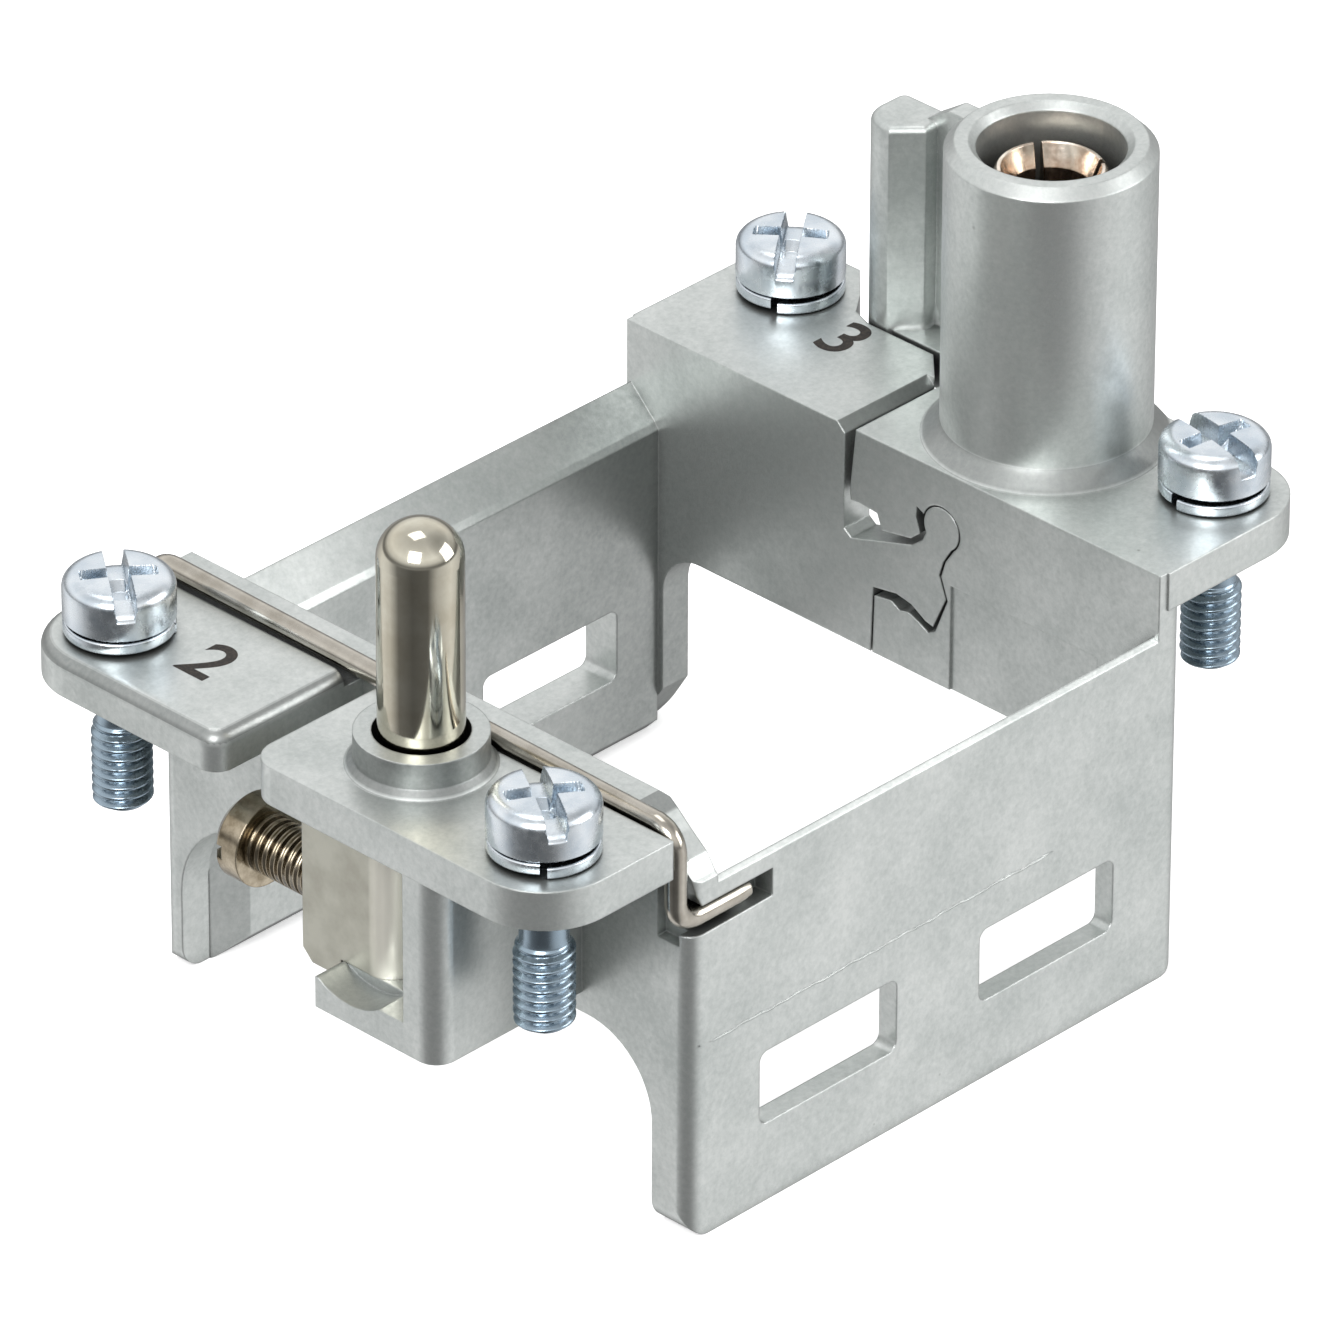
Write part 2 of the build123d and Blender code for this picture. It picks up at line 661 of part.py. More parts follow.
# Latch wire: bar across the near end, ends bent down and along the side walls
with BuildPart() as latch_wire:
    with BuildLine() as wire_path:
        Polyline(
            (wire_leg_end_x, -wire_y, wire_leg_z),
            (wire_x + wire_bend, -wire_y, wire_leg_z),
            (wire_x, -wire_y, wire_leg_z + wire_bend),
            (wire_x, -wire_y, wire_front_z - wire_bend),
            (wire_x, -wire_y + wire_bend, wire_front_z),
            (wire_x, wire_y - wire_bend, wire_back_z),
            (wire_x, wire_y, wire_back_z - wire_bend),
            (wire_x, wire_y, wire_leg_z + wire_bend),
            (wire_x + wire_bend, wire_y, wire_leg_z),
            (wire_leg_end_x, wire_y, wire_leg_z),
        )
    with BuildSketch(Plane(origin=wire_path.line @ 0, z_dir=wire_path.line % 0)):
        Circle(wire_r)
    sweep(transition=Transition.RIGHT)

# Fixing screw: head with a cross recess and a slot, captive neck, threaded end
screws = []
for ix, iy in ((-1, 1), (-1, -1), (1, 1), (1, -1)):
    cx = ix * half_x
    cy = iy * half_y
    head_top_z = head_seat_z + head_t
    with BuildPart() as screw:
        with BuildSketch(Plane.XZ.offset(-cy)):
            with BuildLine():
                Polyline(
                    (cx, screw_tip_z),
                    (cx + thread_r - 0.45, screw_tip_z),
                    (cx + thread_r, screw_tip_z + 0.45),
                    (cx + thread_r, neck_end_z),
                    (cx + neck_r, neck_end_z + 0.3),
                    (cx + neck_r, head_seat_z),
                    (cx + head_r, head_seat_z),
                    (cx + head_r, head_top_z - 0.4),
                    (cx + head_r - 0.4, head_top_z),
                    (cx, head_top_z),
                    close=True,
                )
            make_face()
        revolve(axis=Axis((cx, cy, 0), (0, 0, 1)))
        with Locations((cx, cy, head_top_z)):
            Box(2 * head_r + 1, 0.75, 1.5, rotation=(0, 0, 20), mode=Mode.SUBTRACT)
            Box(1.2 * head_r, 0.6, 2.4, rotation=(0, 0, 110), mode=Mode.SUBTRACT)
    screws.append(screw.part)

# Split lock washers under the screw heads
washers = []
for ix, iy in ((-1, 1), (-1, -1), (1, 1), (1, -1)):
    with BuildPart() as washer:
        with Locations((ix * half_x, iy * half_y, washer_t / 2)):
            Cylinder(washer_r, washer_t)
            Cylinder(washer_bore_r, washer_t + 1, mode=Mode.SUBTRACT)
        with Locations((ix * half_x - 1.1, iy * half_y - 1.8, washer_t / 2)):
            Box(0.35, 2.6, 2.2, rotation=(25, 0, -30), mode=Mode.SUBTRACT)
    washers.append(washer.part)

nodes = {
    "back_half": back_half.part,
    "front_half": front_half.part,
    "pe_pin": pe_pin.part,
    "pe_terminal_body": pe_terminal_body.part,
    "pe_clamp_screw": pe_clamp_screw.part,
    "pe_socket_contact": pe_socket_contact.part,
    "latch_wire": latch_wire.part,
}
for index in range(4):
    nodes["fixing_screw_" + str(index + 1)] = screws[index]
    nodes["lock_washer_" + str(index + 1)] = washers[index]

for name, shape in nodes.items():
    stored = shape.moved(Location((0, 0, -neck_end_z)))
    stored.label = name
    export_step(stored, "parts/" + name + ".step")
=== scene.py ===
"""Dresses the hinged module frame of a rectangular power connector for a studio picture.

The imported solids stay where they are. The cast halves, the earth pin, its terminal and the socket
contact get finishes. The fixing screws, their washers and the latch wire are built here in place of
their plain solids, and a casting seam and two flange numerals are added.
"""

import logging
import math
from collections.abc import Sequence
from dataclasses import dataclass, field
from enum import Enum

import bmesh
import bpy
import numpy as np
from mathutils import Matrix, Vector

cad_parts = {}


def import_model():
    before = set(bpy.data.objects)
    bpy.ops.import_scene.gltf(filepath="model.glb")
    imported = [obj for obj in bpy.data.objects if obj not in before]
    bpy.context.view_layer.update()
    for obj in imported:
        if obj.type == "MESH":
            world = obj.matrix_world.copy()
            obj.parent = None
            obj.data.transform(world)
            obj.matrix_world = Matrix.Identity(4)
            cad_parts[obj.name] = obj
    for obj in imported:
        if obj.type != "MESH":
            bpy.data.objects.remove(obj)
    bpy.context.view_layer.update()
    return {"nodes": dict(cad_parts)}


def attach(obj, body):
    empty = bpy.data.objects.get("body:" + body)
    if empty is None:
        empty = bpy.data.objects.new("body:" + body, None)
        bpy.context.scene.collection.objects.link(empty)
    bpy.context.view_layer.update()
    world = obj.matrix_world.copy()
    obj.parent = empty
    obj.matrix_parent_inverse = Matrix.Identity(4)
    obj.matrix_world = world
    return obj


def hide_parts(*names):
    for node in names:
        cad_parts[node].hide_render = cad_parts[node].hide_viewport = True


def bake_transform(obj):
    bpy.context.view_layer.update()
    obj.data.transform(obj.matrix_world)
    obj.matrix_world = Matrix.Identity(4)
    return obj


LOG = logging.getLogger("module_frame")
MM = 0.001
FLANGE_TOP_MM = 4.6

# Each fixing screw: its number, its x and y in mm, the turn of its slot, the place of its washer's split in
# degrees, and the half that the washer lies on.
CORNERS = (
    (1, -22.0, 13.5, 53.0, 304.0, "back_half"),
    (2, -22.0, -13.5, 58.0, 224.0, "front_half"),
    (3, 22.0, 13.5, 37.0, 206.0, "back_half"),
    (4, 22.0, -13.5, 79.0, 177.0, "front_half"),
)


def linear_rgb(hex_colour: str) -> tuple[float, float, float, float]:
    """Turn an sRGB hex colour into linear light.

    Args:
        hex_colour: Six hex digits, with or without a leading hash.

    Returns:
        Red, green, blue and an alpha of 1.
    """
    digits = hex_colour.lstrip("#")
    parts = [int(digits[i : i + 2], 16) / 255 for i in (0, 2, 4)]
    lin = [c / 12.92 if c <= 0.04045 else ((c + 0.055) / 1.055) ** 2.4 for c in parts]
    return (lin[0], lin[1], lin[2], 1.0)


def add_node(
    tree: bpy.types.NodeTree, kind: str, settings: dict | None = None, links: dict | None = None
) -> bpy.types.Node:
    """Add one shader node with its settings and incoming links.

    Args:
        tree: The node tree to add to.
        kind: The node's type name.
        settings: Node properties or socket defaults by name; an integer key is a socket's index.
        links: Socket name or index to the output socket that feeds it.

    Returns:
        The new node.
    """
    node = tree.nodes.new(kind)
    for key, value in (settings or {}).items():
        if isinstance(key, int) or key in node.inputs:
            node.inputs[key].default_value = value
        else:
            setattr(node, key, value)
    for key, source in (links or {}).items():
        tree.links.new(source, node.inputs[key])
    return node


def colour_ramp(
    tree: bpy.types.NodeTree, factor: bpy.types.NodeSocket, stops: Sequence[tuple[float, str | float]]
) -> bpy.types.NodeSocket:
    """Map a value to colours or to greys.

    Args:
        tree: The node tree to add to.
        factor: The value that drives the ramp.
        stops: Positions from 0 to 1, each with an sRGB hex colour or the linear level of a grey.

    Returns:
        The ramp's colour output.
    """
    ramp = add_node(tree, "ShaderNodeValToRGB", {}, {"Fac": factor})
    elements = ramp.color_ramp.elements
    while len(elements) < len(stops):
        elements.new(0.5)
    for element, (position, tone) in zip(elements, stops):
        element.position = position
        element.color = linear_rgb(tone) if isinstance(tone, str) else (tone, tone, tone, 1.0)
    return ramp.outputs["Color"]


def mesh_object(name: str, vertices: np.ndarray, faces: list, sharp_deg: float | None = 40.0) -> bpy.types.Object:
    """Put a vertex array and a face list into a new object at the origin, its faces all turned outwards.

    Args:
        name: The object's name.
        vertices: Array of shape (n, 3), in metres.
        faces: Lists of vertex indices.
        sharp_deg: Edges that bend more than this stay sharp; None shades every face flat.

    Returns:
        The linked object.
    """
    mesh = bpy.data.meshes.new(name)
    mesh.from_pydata(np.asarray(vertices, float).tolist(), [], faces)
    mesh.validate()
    shell = bmesh.new()
    shell.from_mesh(mesh)
    bmesh.ops.recalc_face_normals(shell, faces=shell.faces)
    shell.to_mesh(mesh)
    shell.free()
    mesh.polygons.foreach_set("use_smooth", np.full(len(mesh.polygons), sharp_deg is not None))
    if sharp_deg is not None:
        mesh.set_sharp_from_angle(angle=math.radians(sharp_deg))
    mesh.update()
    obj = bpy.data.objects.new(name, mesh)
    bpy.context.scene.collection.objects.link(obj)
    return obj


def tube_faces(rows: int, columns: int) -> np.ndarray:
    """Quads between rings of vertices, numbered ring by ring, each ring closed on itself.

    Args:
        rows: Number of rings.
        columns: Number of vertices in a ring.

    Returns:
        Array of shape (m, 4).
    """
    row, column = np.meshgrid(np.arange(rows - 1), np.arange(columns), indexing="ij")
    beside = (column + 1) % columns
    low, high = row * columns, (row + 1) * columns
    return np.stack([low + column, low + beside, high + beside, high + column], -1).reshape(-1, 4)


@dataclass(frozen=True)
class PaintedShadeZone:
    """A part of the casting whose colour gets painted shade where other walls keep it in shade, and how dark that
    painted shade is.

    The tone goes from its first value at the near end to its second at the far end. Each limit names
    a value, where the zone has not begun and where it is full: x, z and inward (y times the normal's
    y) in millimetres, and up (the normal's z).
    """

    tone: tuple[float, float]
    limits: tuple[tuple[str, float, float], ...]


# Painted shade: faces inside the frame, the tower's foot, the gap bevels and the pin's collar get a darker colour
# where the walls around them keep them in shade.
INNER_FACES = PaintedShadeZone((0.95, 0.57), (("inward", -6.0, -11.0), ("z", 1.8, 1.4)))
TOWER_FOOT = PaintedShadeZone(
    (0.6, 0.6),
    (
        ("up", 0.1, 0.25),
        ("up", 0.97, 0.9),
        ("z", FLANGE_TOP_MM + 0.05, FLANGE_TOP_MM + 0.15),
        ("z", FLANGE_TOP_MM + 1.15, FLANGE_TOP_MM + 0.9),
        ("x", 5.0, 8.0),
    ),
)
GAP_BEVELS = PaintedShadeZone(
    (0.6, 0.6),
    (
        ("up", 0.2, 0.3),
        ("up", 0.97, 0.9),
        ("z", FLANGE_TOP_MM - 0.7, FLANGE_TOP_MM - 0.6),
        ("z", FLANGE_TOP_MM + 0.05, FLANGE_TOP_MM),
    ),
)
PIN_COLLAR = PaintedShadeZone(
    (0.5, 0.5), (("up", 0.97, 0.9), ("z", FLANGE_TOP_MM + 0.05, FLANGE_TOP_MM + 0.15), ("x", -10.0, -11.0))
)


@dataclass(frozen=True)
class DieCastZinc:
    """Zinc die casting, tumbled matt: cool pale grey, cloudy, with fine grain and tiny pits."""

    pale: str = "#d3d6d4"
    middle: str = "#c6cac8"
    shade: str = "#b9bebc"
    pit_colour: str = "#8a8f8c"
    cloud_mm: float = 5.0
    grain_mm: float = 0.3
    pit_mm: float = 2.2
    pit_share: float = 0.22
    edge_mm: float = 0.14
    foot_edge_mm: float = 0.7
    foot_above_mm: tuple[float, float, float, float] = (0.01, 0.06, 0.6, 1.1)
    foot_side_mm: tuple[float, float] = (5.0, 8.0)
    roughness: float = 0.4
    spread: float = 0.08
    painted_shade_zones: tuple[PaintedShadeZone, ...] = (INNER_FACES, TOWER_FOOT, GAP_BEVELS, PIN_COLLAR)
    fade_x_mm: tuple[float, float] = (-8.0, 13.0)

    def build(self) -> bpy.types.Material:
        """Build the material.

        Returns:
            A metallic material with cloudy colour, fine grain and sparse pits.
        """
        material, tree, shader = new_material("die_cast_zinc", metallic=0.92)
        place = add_node(tree, "ShaderNodeTexCoord").outputs["Object"]
        cloud = noise(tree, place, self.cloud_mm, detail=6.0, rough=0.62)
        grain = noise(tree, place, self.grain_mm, detail=3.0, rough=0.7)
        both = add_node(tree, "ShaderNodeMix", {"data_type": "FLOAT", 0: 0.45}, {2: cloud, 3: grain}).outputs[0]
        colour = colour_ramp(tree, both, [(0.36, self.shade), (0.5, self.middle), (0.65, self.pale)])
        cells = add_node(
            tree,
            "ShaderNodeTexVoronoi",
            {"Scale": 1 / (self.pit_mm * MM), "Randomness": 1.0},
            {"Vector": place},
        ).outputs
        lot = add_node(tree, "ShaderNodeSeparateColor", {}, {0: cells["Color"]}).outputs[0]
        reach = add_node(
            tree, "ShaderNodeMapRange", {1: 0.0, 2: self.pit_share, 3: 0.075, 4: 0.001}, {0: lot}
        ).outputs[0]
        pit = add_node(
            tree, "ShaderNodeMapRange", {1: 0.0, 3: 0.0, 4: 1.0}, {0: cells["Distance"], 2: reach}
        ).outputs[0]
        dark = add_node(
            tree, "ShaderNodeMix", {"data_type": "RGBA", 6: linear_rgb(self.pit_colour)}, {0: pit, 7: colour}
        ).outputs[2]
        # Painted shade in the zones where other walls shade the casting.
        painted_shade = self.painted_shade(tree, place, dark)
        # Painted shade in gaps and at the feet of parts, from ambient occlusion.
        tree.links.new(painted_crevice_shade(tree, painted_shade, 1.5), shader.inputs["Base Color"])
        gloss = {1: 0.3, 2: 0.7, 3: self.roughness + self.spread, 4: self.roughness - self.spread}
        rough = add_node(tree, "ShaderNodeMapRange", gloss, {0: both}).outputs[0]
        tree.links.new(rough, shader.inputs["Roughness"])
        height = add_node(tree, "ShaderNodeMix", {"data_type": "FLOAT", 0: 0.35}, {2: grain, 3: pit}).outputs[0]
        radius = self.edge_radius(tree, place)
        soft = add_node(tree, "ShaderNodeBevel", {"samples": 6}, {"Radius": radius}).outputs[0]
        bump(tree, shader, height, strength=0.22, depth_mm=0.035, base=soft)
        return material

    def painted_shade(
        self, tree: bpy.types.NodeTree, place: bpy.types.NodeSocket, colour: bpy.types.NodeSocket
    ) -> bpy.types.NodeSocket:
        """Paint shade into the colour in each painted shade zone, by the product of the zone's limits.

        Args:
            tree: The node tree to add to.
            place: The coordinate that it reads, in metres.
            colour: The open surface's colour.

        Returns:
            The colour's output, with the painted shade.
        """
        spot = add_node(tree, "ShaderNodeSeparateXYZ", {}, {0: place}).outputs
        normal = add_node(tree, "ShaderNodeNewGeometry").outputs["True Normal"]
        facing = add_node(tree, "ShaderNodeSeparateXYZ", {}, {0: normal}).outputs
        inward = add_node(tree, "ShaderNodeMath", {"operation": "MULTIPLY"}, {0: spot[1], 1: facing[1]}).outputs[0]
        values = {"x": (spot[0], MM), "z": (spot[2], MM), "inward": (inward, MM), "up": (facing[2], 1.0)}
        near, far = (v * MM for v in self.fade_x_mm)
        for zone in self.painted_shade_zones:
            share = None
            for name, none_at, full_at in zone.limits:
                value, unit = values[name]
                ends = {1: none_at * unit, 2: full_at * unit, 3: 0.0, 4: 1.0}
                part = add_node(tree, "ShaderNodeMapRange", ends, {0: value}).outputs[0]
                product = {"operation": "MULTIPLY"}
                share = add_node(tree, "ShaderNodeMath", product, {0: share, 1: part}).outputs[0] if share else part
            ends = {1: near, 2: far, 3: zone.tone[0], 4: zone.tone[1]}
            tone = add_node(tree, "ShaderNodeMapRange", ends, {0: spot[0]}).outputs[0]
            settings = {"data_type": "RGBA", "blend_type": "MULTIPLY"}
            colour = add_node(tree, "ShaderNodeMix", settings, {0: share, 6: colour, 7: tone}).outputs[2]
        return colour

    def edge_radius(self, tree: bpy.types.NodeTree, place: bpy.types.NodeSocket) -> bpy.types.NodeSocket:
        """Radius of the softened edges: small all over, larger at the tower's foot.

        Args:
            tree: The node tree to add to.
            place: The coordinate that it reads, in metres.

        Returns:
            The radius in metres.
        """
        x, _, z = add_node(tree, "ShaderNodeSeparateXYZ", {}, {0: place}).outputs
        low, risen, fade, gone = ((FLANGE_TOP_MM + v) * MM for v in self.foot_above_mm)
        above = add_node(tree, "ShaderNodeMapRange", {1: low, 2: risen, 3: 0.0, 4: 1.0}, {0: z}).outputs[0]
        below = add_node(tree, "ShaderNodeMapRange", {1: fade, 2: gone, 3: 1.0, 4: 0.0}, {0: z}).outputs[0]
        band = add_node(tree, "ShaderNodeMath", {"operation": "MULTIPLY"}, {0: above, 1: below}).outputs[0]
        start, full = (v * MM for v in self.foot_side_mm)
        far_side = add_node(tree, "ShaderNodeMapRange", {1: start, 2: full, 3: 0.0, 4: 1.0}, {0: x}).outputs[0]
        tower_foot = add_node(tree, "ShaderNodeMath", {"operation": "MULTIPLY"}, {0: band, 1: far_side}).outputs[0]
        ends = {1: 0.0, 2: 1.0, 3: self.edge_mm * MM, 4: self.foot_edge_mm * MM}
        return add_node(tree, "ShaderNodeMapRange", ends, {0: tower_foot}).outputs[0]


@dataclass(frozen=True)
class BrightMetal:
    """Plated or drawn metal: clean reflections, faint streaks and clouding.

    thread_mm is the pitch of rings along Y and where they end. second is a band of painted light: an axis, two places
    on it in millimetres and the colour, a painted shade or a painted highlight, that holds below the first of them.
    """

    name: str
    pale: str
    shade: str
    roughness: float
    cloud_mm: float = 0.8
    streak_mm: tuple[float, float, float] = (0.4, 0.4, 0.4)
    spread: float = 0.05
    relief_mm: float = 0.004
    edge_mm: float = 0.0
    thread_mm: tuple[float, float] | None = None
    second: tuple[int, float, float, str] | None = None
    metallic: float = 1.0

    def build(self) -> bpy.types.Material:
        """Build the material.

        Returns:
            A fully metallic material whose tint and gloss drift slightly over the surface.
        """
        material, tree, shader = new_material(self.name, self.metallic)
        place = add_node(tree, "ShaderNodeTexCoord").outputs["Object"]
        cloud = noise(tree, place, self.cloud_mm, detail=4.0, rough=0.6)
        colour = colour_ramp(tree, cloud, [(0.35, self.shade), (0.62, self.pale)])
        # Painted light: below a place on one axis the colour turns to a painted shade or a painted highlight.
        if self.second:
            colour = self.painted_light_tone(tree, place, colour)
        # Painted shade in gaps and at the feet of parts, from ambient occlusion.
        tree.links.new(painted_crevice_shade(tree, colour, 0.7), shader.inputs["Base Color"])
        scale = tuple(1 / (s * MM) for s in self.streak_mm)
        stretched = add_node(tree, "ShaderNodeMapping", {"Scale": scale}, {"Vector": place}).outputs[0]
        streak = add_node(tree, "ShaderNodeTexNoise", {"Scale": 1.0, "Detail": 3.0}, {"Vector": stretched}).outputs[0]
        rough = add_node(
            tree,
            "ShaderNodeMapRange",
            {1: 0.3, 2: 0.7, 3: self.roughness - self.spread, 4: self.roughness + self.spread},
            {0: streak},
        ).outputs[0]
        tree.links.new(rough, shader.inputs["Roughness"])
        soft = None
        if self.edge_mm:
            soft = add_node(tree, "ShaderNodeBevel", {"samples": 6, "Radius": self.edge_mm * MM}).outputs[0]
        if self.thread_mm:
            soft = self.thread_relief(tree, place, soft)
        bump(tree, shader, streak, strength=0.15, depth_mm=self.relief_mm, base=soft)
        return material

    def painted_light_tone(
        self, tree: bpy.types.NodeTree, place: bpy.types.NodeSocket, colour: bpy.types.NodeSocket
    ) -> bpy.types.NodeSocket:
        """Paint light into the colour: change to a second colour, a painted shade or a painted highlight, below a
        place on one axis, softly over a short stretch.

        Args:
            tree: The node tree to add to.
            place: The coordinate that it reads, in metres.
            colour: The first colour.

        Returns:
            The joined colour's output.
        """
        axis, start, end, tint = self.second
        along = add_node(tree, "ShaderNodeSeparateXYZ", {}, {0: place}).outputs[axis]
        ends = {1: start * MM, 2: end * MM, 3: 0.0, 4: 1.0}
        share = add_node(tree, "ShaderNodeMapRange", ends, {0: along}).outputs[0]
        settings = {"data_type": "RGBA", 6: linear_rgb(tint)}
        return add_node(tree, "ShaderNodeMix", settings, {0: share, 7: colour}).outputs[2]

    def thread_relief(
        self, tree: bpy.types.NodeTree, place: bpy.types.NodeSocket, base: bpy.types.NodeSocket | None
    ) -> bpy.types.NodeSocket:
        """Rings along Y, as a fine thread shows, up to the head.

        The height is the sine of 2 pi y over the pitch, faded out past the thread's end.

        Args:
            tree: The node tree to add to.
            place: The coordinate that it reads, in metres.
            base: The normal that the rings are laid on.

        Returns:
            The ringed normal.
        """
        pitch, end = self.thread_mm
        y = add_node(tree, "ShaderNodeSeparateXYZ", {}, {0: place}).outputs[1]
        turns = {"operation": "MULTIPLY", 1: 2 * math.pi / (pitch * MM)}
        phase = add_node(tree, "ShaderNodeMath", turns, {0: y}).outputs[0]
        wave = add_node(tree, "ShaderNodeMath", {"operation": "SINE"}, {0: phase}).outputs[0]
        run_out = {1: (end - 0.1) * MM, 2: end * MM, 3: 1.0, 4: 0.0}
        fade = add_node(tree, "ShaderNodeMapRange", run_out, {0: y}).outputs[0]
        height = add_node(tree, "ShaderNodeMath", {"operation": "MULTIPLY"}, {0: wave, 1: fade}).outputs[0]
        links = {"Height": height} | ({"Normal": base} if base else {})
        return add_node(tree, "ShaderNodeBump", {"Strength": 1.0, "Distance": 0.08 * MM}, links).outputs[0]


@dataclass(frozen=True)
class MarkingInk:
    """Laser-darkened mark on cast metal: near black, slightly brown and grainy at its edge."""

    dark: str = "#1b1714"
    light: str = "#3a322b"

    def build(self) -> bpy.types.Material:
        """Build the material.

        Returns:
            A rough, almost black material.
        """
        material, tree, shader = new_material("laser_mark", metallic=0.0)
        place = add_node(tree, "ShaderNodeTexCoord").outputs["Object"]
        grain = noise(tree, place, 0.12, detail=2.0, rough=0.6)
        tree.links.new(colour_ramp(tree, grain, [(0.4, self.dark), (0.7, self.light)]), shader.inputs["Base Color"])
        shader.inputs["Roughness"].default_value = 0.7
        return material


def painted_crevice_shade(tree: bpy.types.NodeTree, colour: bpy.types.NodeSocket, reach_mm: float) -> bpy.types.NodeSocket:
    """Paint shade into a colour in gaps and at the foot of what stands on it, darker the closer a neighbouring wall
    comes.

    Args:
        tree: The node tree to add to.
        colour: The open surface's colour.
        reach_mm: How far a neighbouring wall still counts.

    Returns:
        The darkened colour's output.
    """
    open_sky = add_node(tree, "ShaderNodeAmbientOcclusion", {"samples": 5, "Distance": reach_mm * MM}).outputs["AO"]
    tone = add_node(tree, "ShaderNodeMapRange", {1: 0.12, 2: 0.6, 3: 0.12, 4: 1.0}, {0: open_sky}).outputs[0]
    settings = {"data_type": "RGBA", "blend_type": "MULTIPLY", 0: 1.0}
    return add_node(tree, "ShaderNodeMix", settings, {6: colour, 7: tone}).outputs[2]


def new_material(name: str, metallic: float) -> tuple[bpy.types.Material, bpy.types.NodeTree, bpy.types.Node]:
    """Start a node material.

    Args:
        name: The material's name.
        metallic: 1 for bare metal, 0 for anything else.

    Returns:
        The material, its node tree and its principled shader.
    """
    material = bpy.data.materials.new(name)
    material.use_nodes = True
    tree = material.node_tree
    shader = tree.nodes["Principled BSDF"]
    shader.inputs["Metallic"].default_value = metallic
    return material, tree, shader


def noise(
    tree: bpy.types.NodeTree, place: bpy.types.NodeSocket, size_mm: float, detail: float, rough: float
) -> bpy.types.NodeSocket:
    """Cloud noise with features of a real size.

    Args:
        tree: The node tree to add to.
        place: The coordinate that it reads, in metres.
        size_mm: Size of its largest features.
        detail: Number of finer octaves.
        rough: Weight of the finer octaves.

    Returns:
        The noise value's output.
    """
    settings = {"Scale": 1 / (size_mm * MM), "Detail": detail, "Roughness": rough}
    return add_node(tree, "ShaderNodeTexNoise", settings, {"Vector": place}).outputs[0]


def bump(
    tree: bpy.types.NodeTree,
    shader: bpy.types.Node,
    height: bpy.types.NodeSocket,
    strength: float,
    depth_mm: float,
    base: bpy.types.NodeSocket | None = None,
) -> None:
    """Feed a height pattern into the shader's normal.

    Args:
        tree: The node tree to add to.
        shader: The principled shader.
        height: The height pattern, 0 to 1.
        strength: Share of the full relief that shows.
        depth_mm: Height of the relief.
        base: The normal that the relief is laid on, such as one with softened edges.
    """
    links = {"Height": height} | ({"Normal": base} if base else {})
    node = add_node(tree, "ShaderNodeBump", {"Strength": strength, "Distance": depth_mm * MM}, links)
    tree.links.new(node.outputs[0], shader.inputs["Normal"])


class Finish(Enum):
    """The finishes by the record's material slot."""

    CASTING = "zinc_casting"
    PLATED = "zinc_plated_steel"
    NICKEL = "nickel_contact"
    SPRING = "spring_steel"
    BRASS = "brass"


class FinishShelf:
    """Builds each finish once and hands it out."""

    def __init__(self) -> None:
        """Build every material."""
        self.materials: dict[Finish, bpy.types.Material] = {
            Finish.CASTING: DieCastZinc().build(),
            # Bright zinc on steel, electroplated: cold silver with a blue cast, and a darker blue painted shade on
            # the shank under the flange.
            Finish.PLATED: BrightMetal(
                "zinc_plated_steel", "#dfe5ea", "#c3cdd6", 0.26, 1.6, second=(2, 2.6, 3.2, "#98a9b6")
            ).build(),
            # Nickel on turned brass: warm silver, nearly a mirror, with streaks along the pin.
            Finish.NICKEL: BrightMetal(
                "nickel_plate", "#c9c5b6", "#b9b3a2", 0.1, 2.5, (0.3, 0.3, 4.0), 0.02, 0.001
            ).build(),
            # Stainless spring wire, drawn: warm grey with fine lines along its length.
            Finish.SPRING: BrightMetal(
                "drawn_spring_wire", "#bdb8ae", "#a8a297", 0.2, 1.8, (0.3, 4.0, 0.3)
            ).build(),
            # Thinly flashed brass, cut on a lathe: brown-grey shine over the rings of its thread.
            Finish.BRASS: BrightMetal(
                "flashed_brass", "#b7ac98", "#8b7f6b", 0.17, 0.9, edge_mm=0.12, thread_mm=(0.5, 4.5)
            ).build(),
        }
        # Bare contact bronze: pale and rosy.
        self.contact = BrightMetal("contact_bronze", "#efe3d6", "#cdb9a8", 0.2, 0.8, edge_mm=0.08).build()
        # Barrel-plated nickel: dull and yellowish grey, with a near-white painted highlight strip where the pin's
        # root lies.
        self.body = BrightMetal(
            "dull_nickel",
            "#b0afa4",
            "#9f9d92",
            0.34,
            2.0,
            edge_mm=0.12,
            second=(1, -4.9, -4.1, "#fbf8ec"),
            metallic=0.72,
        ).build()
        self.ink = MarkingInk().build()

    def dress(self, obj: bpy.types.Object, material: bpy.types.Material) -> None:
        """Give an object one material in all its slots."""
        obj.data.materials.clear()
        obj.data.materials.append(material)


@dataclass
class CarriedNodes:
    """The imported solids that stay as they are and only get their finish."""

    finishes: dict[str, Finish] = field(
        default_factory=lambda: {
            "front_half": Finish.CASTING,
            "back_half": Finish.CASTING,
            "pe_pin": Finish.NICKEL,
            "pe_clamp_screw": Finish.BRASS,
        }
    )

    def dress(self, nodes: dict[str, bpy.types.Object], shelf: FinishShelf) -> None:
        """Put the finishes on.

        Args:
            nodes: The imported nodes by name.
            shelf: The built finishes.
        """
        for name, finish in self.finishes.items():
            shelf.dress(nodes[name], shelf.materials[finish])
            LOG.info("dressed %s", name)
        shelf.dress(nodes["pe_socket_contact"], shelf.contact)
        shelf.dress(nodes["pe_terminal_body"], shelf.body)


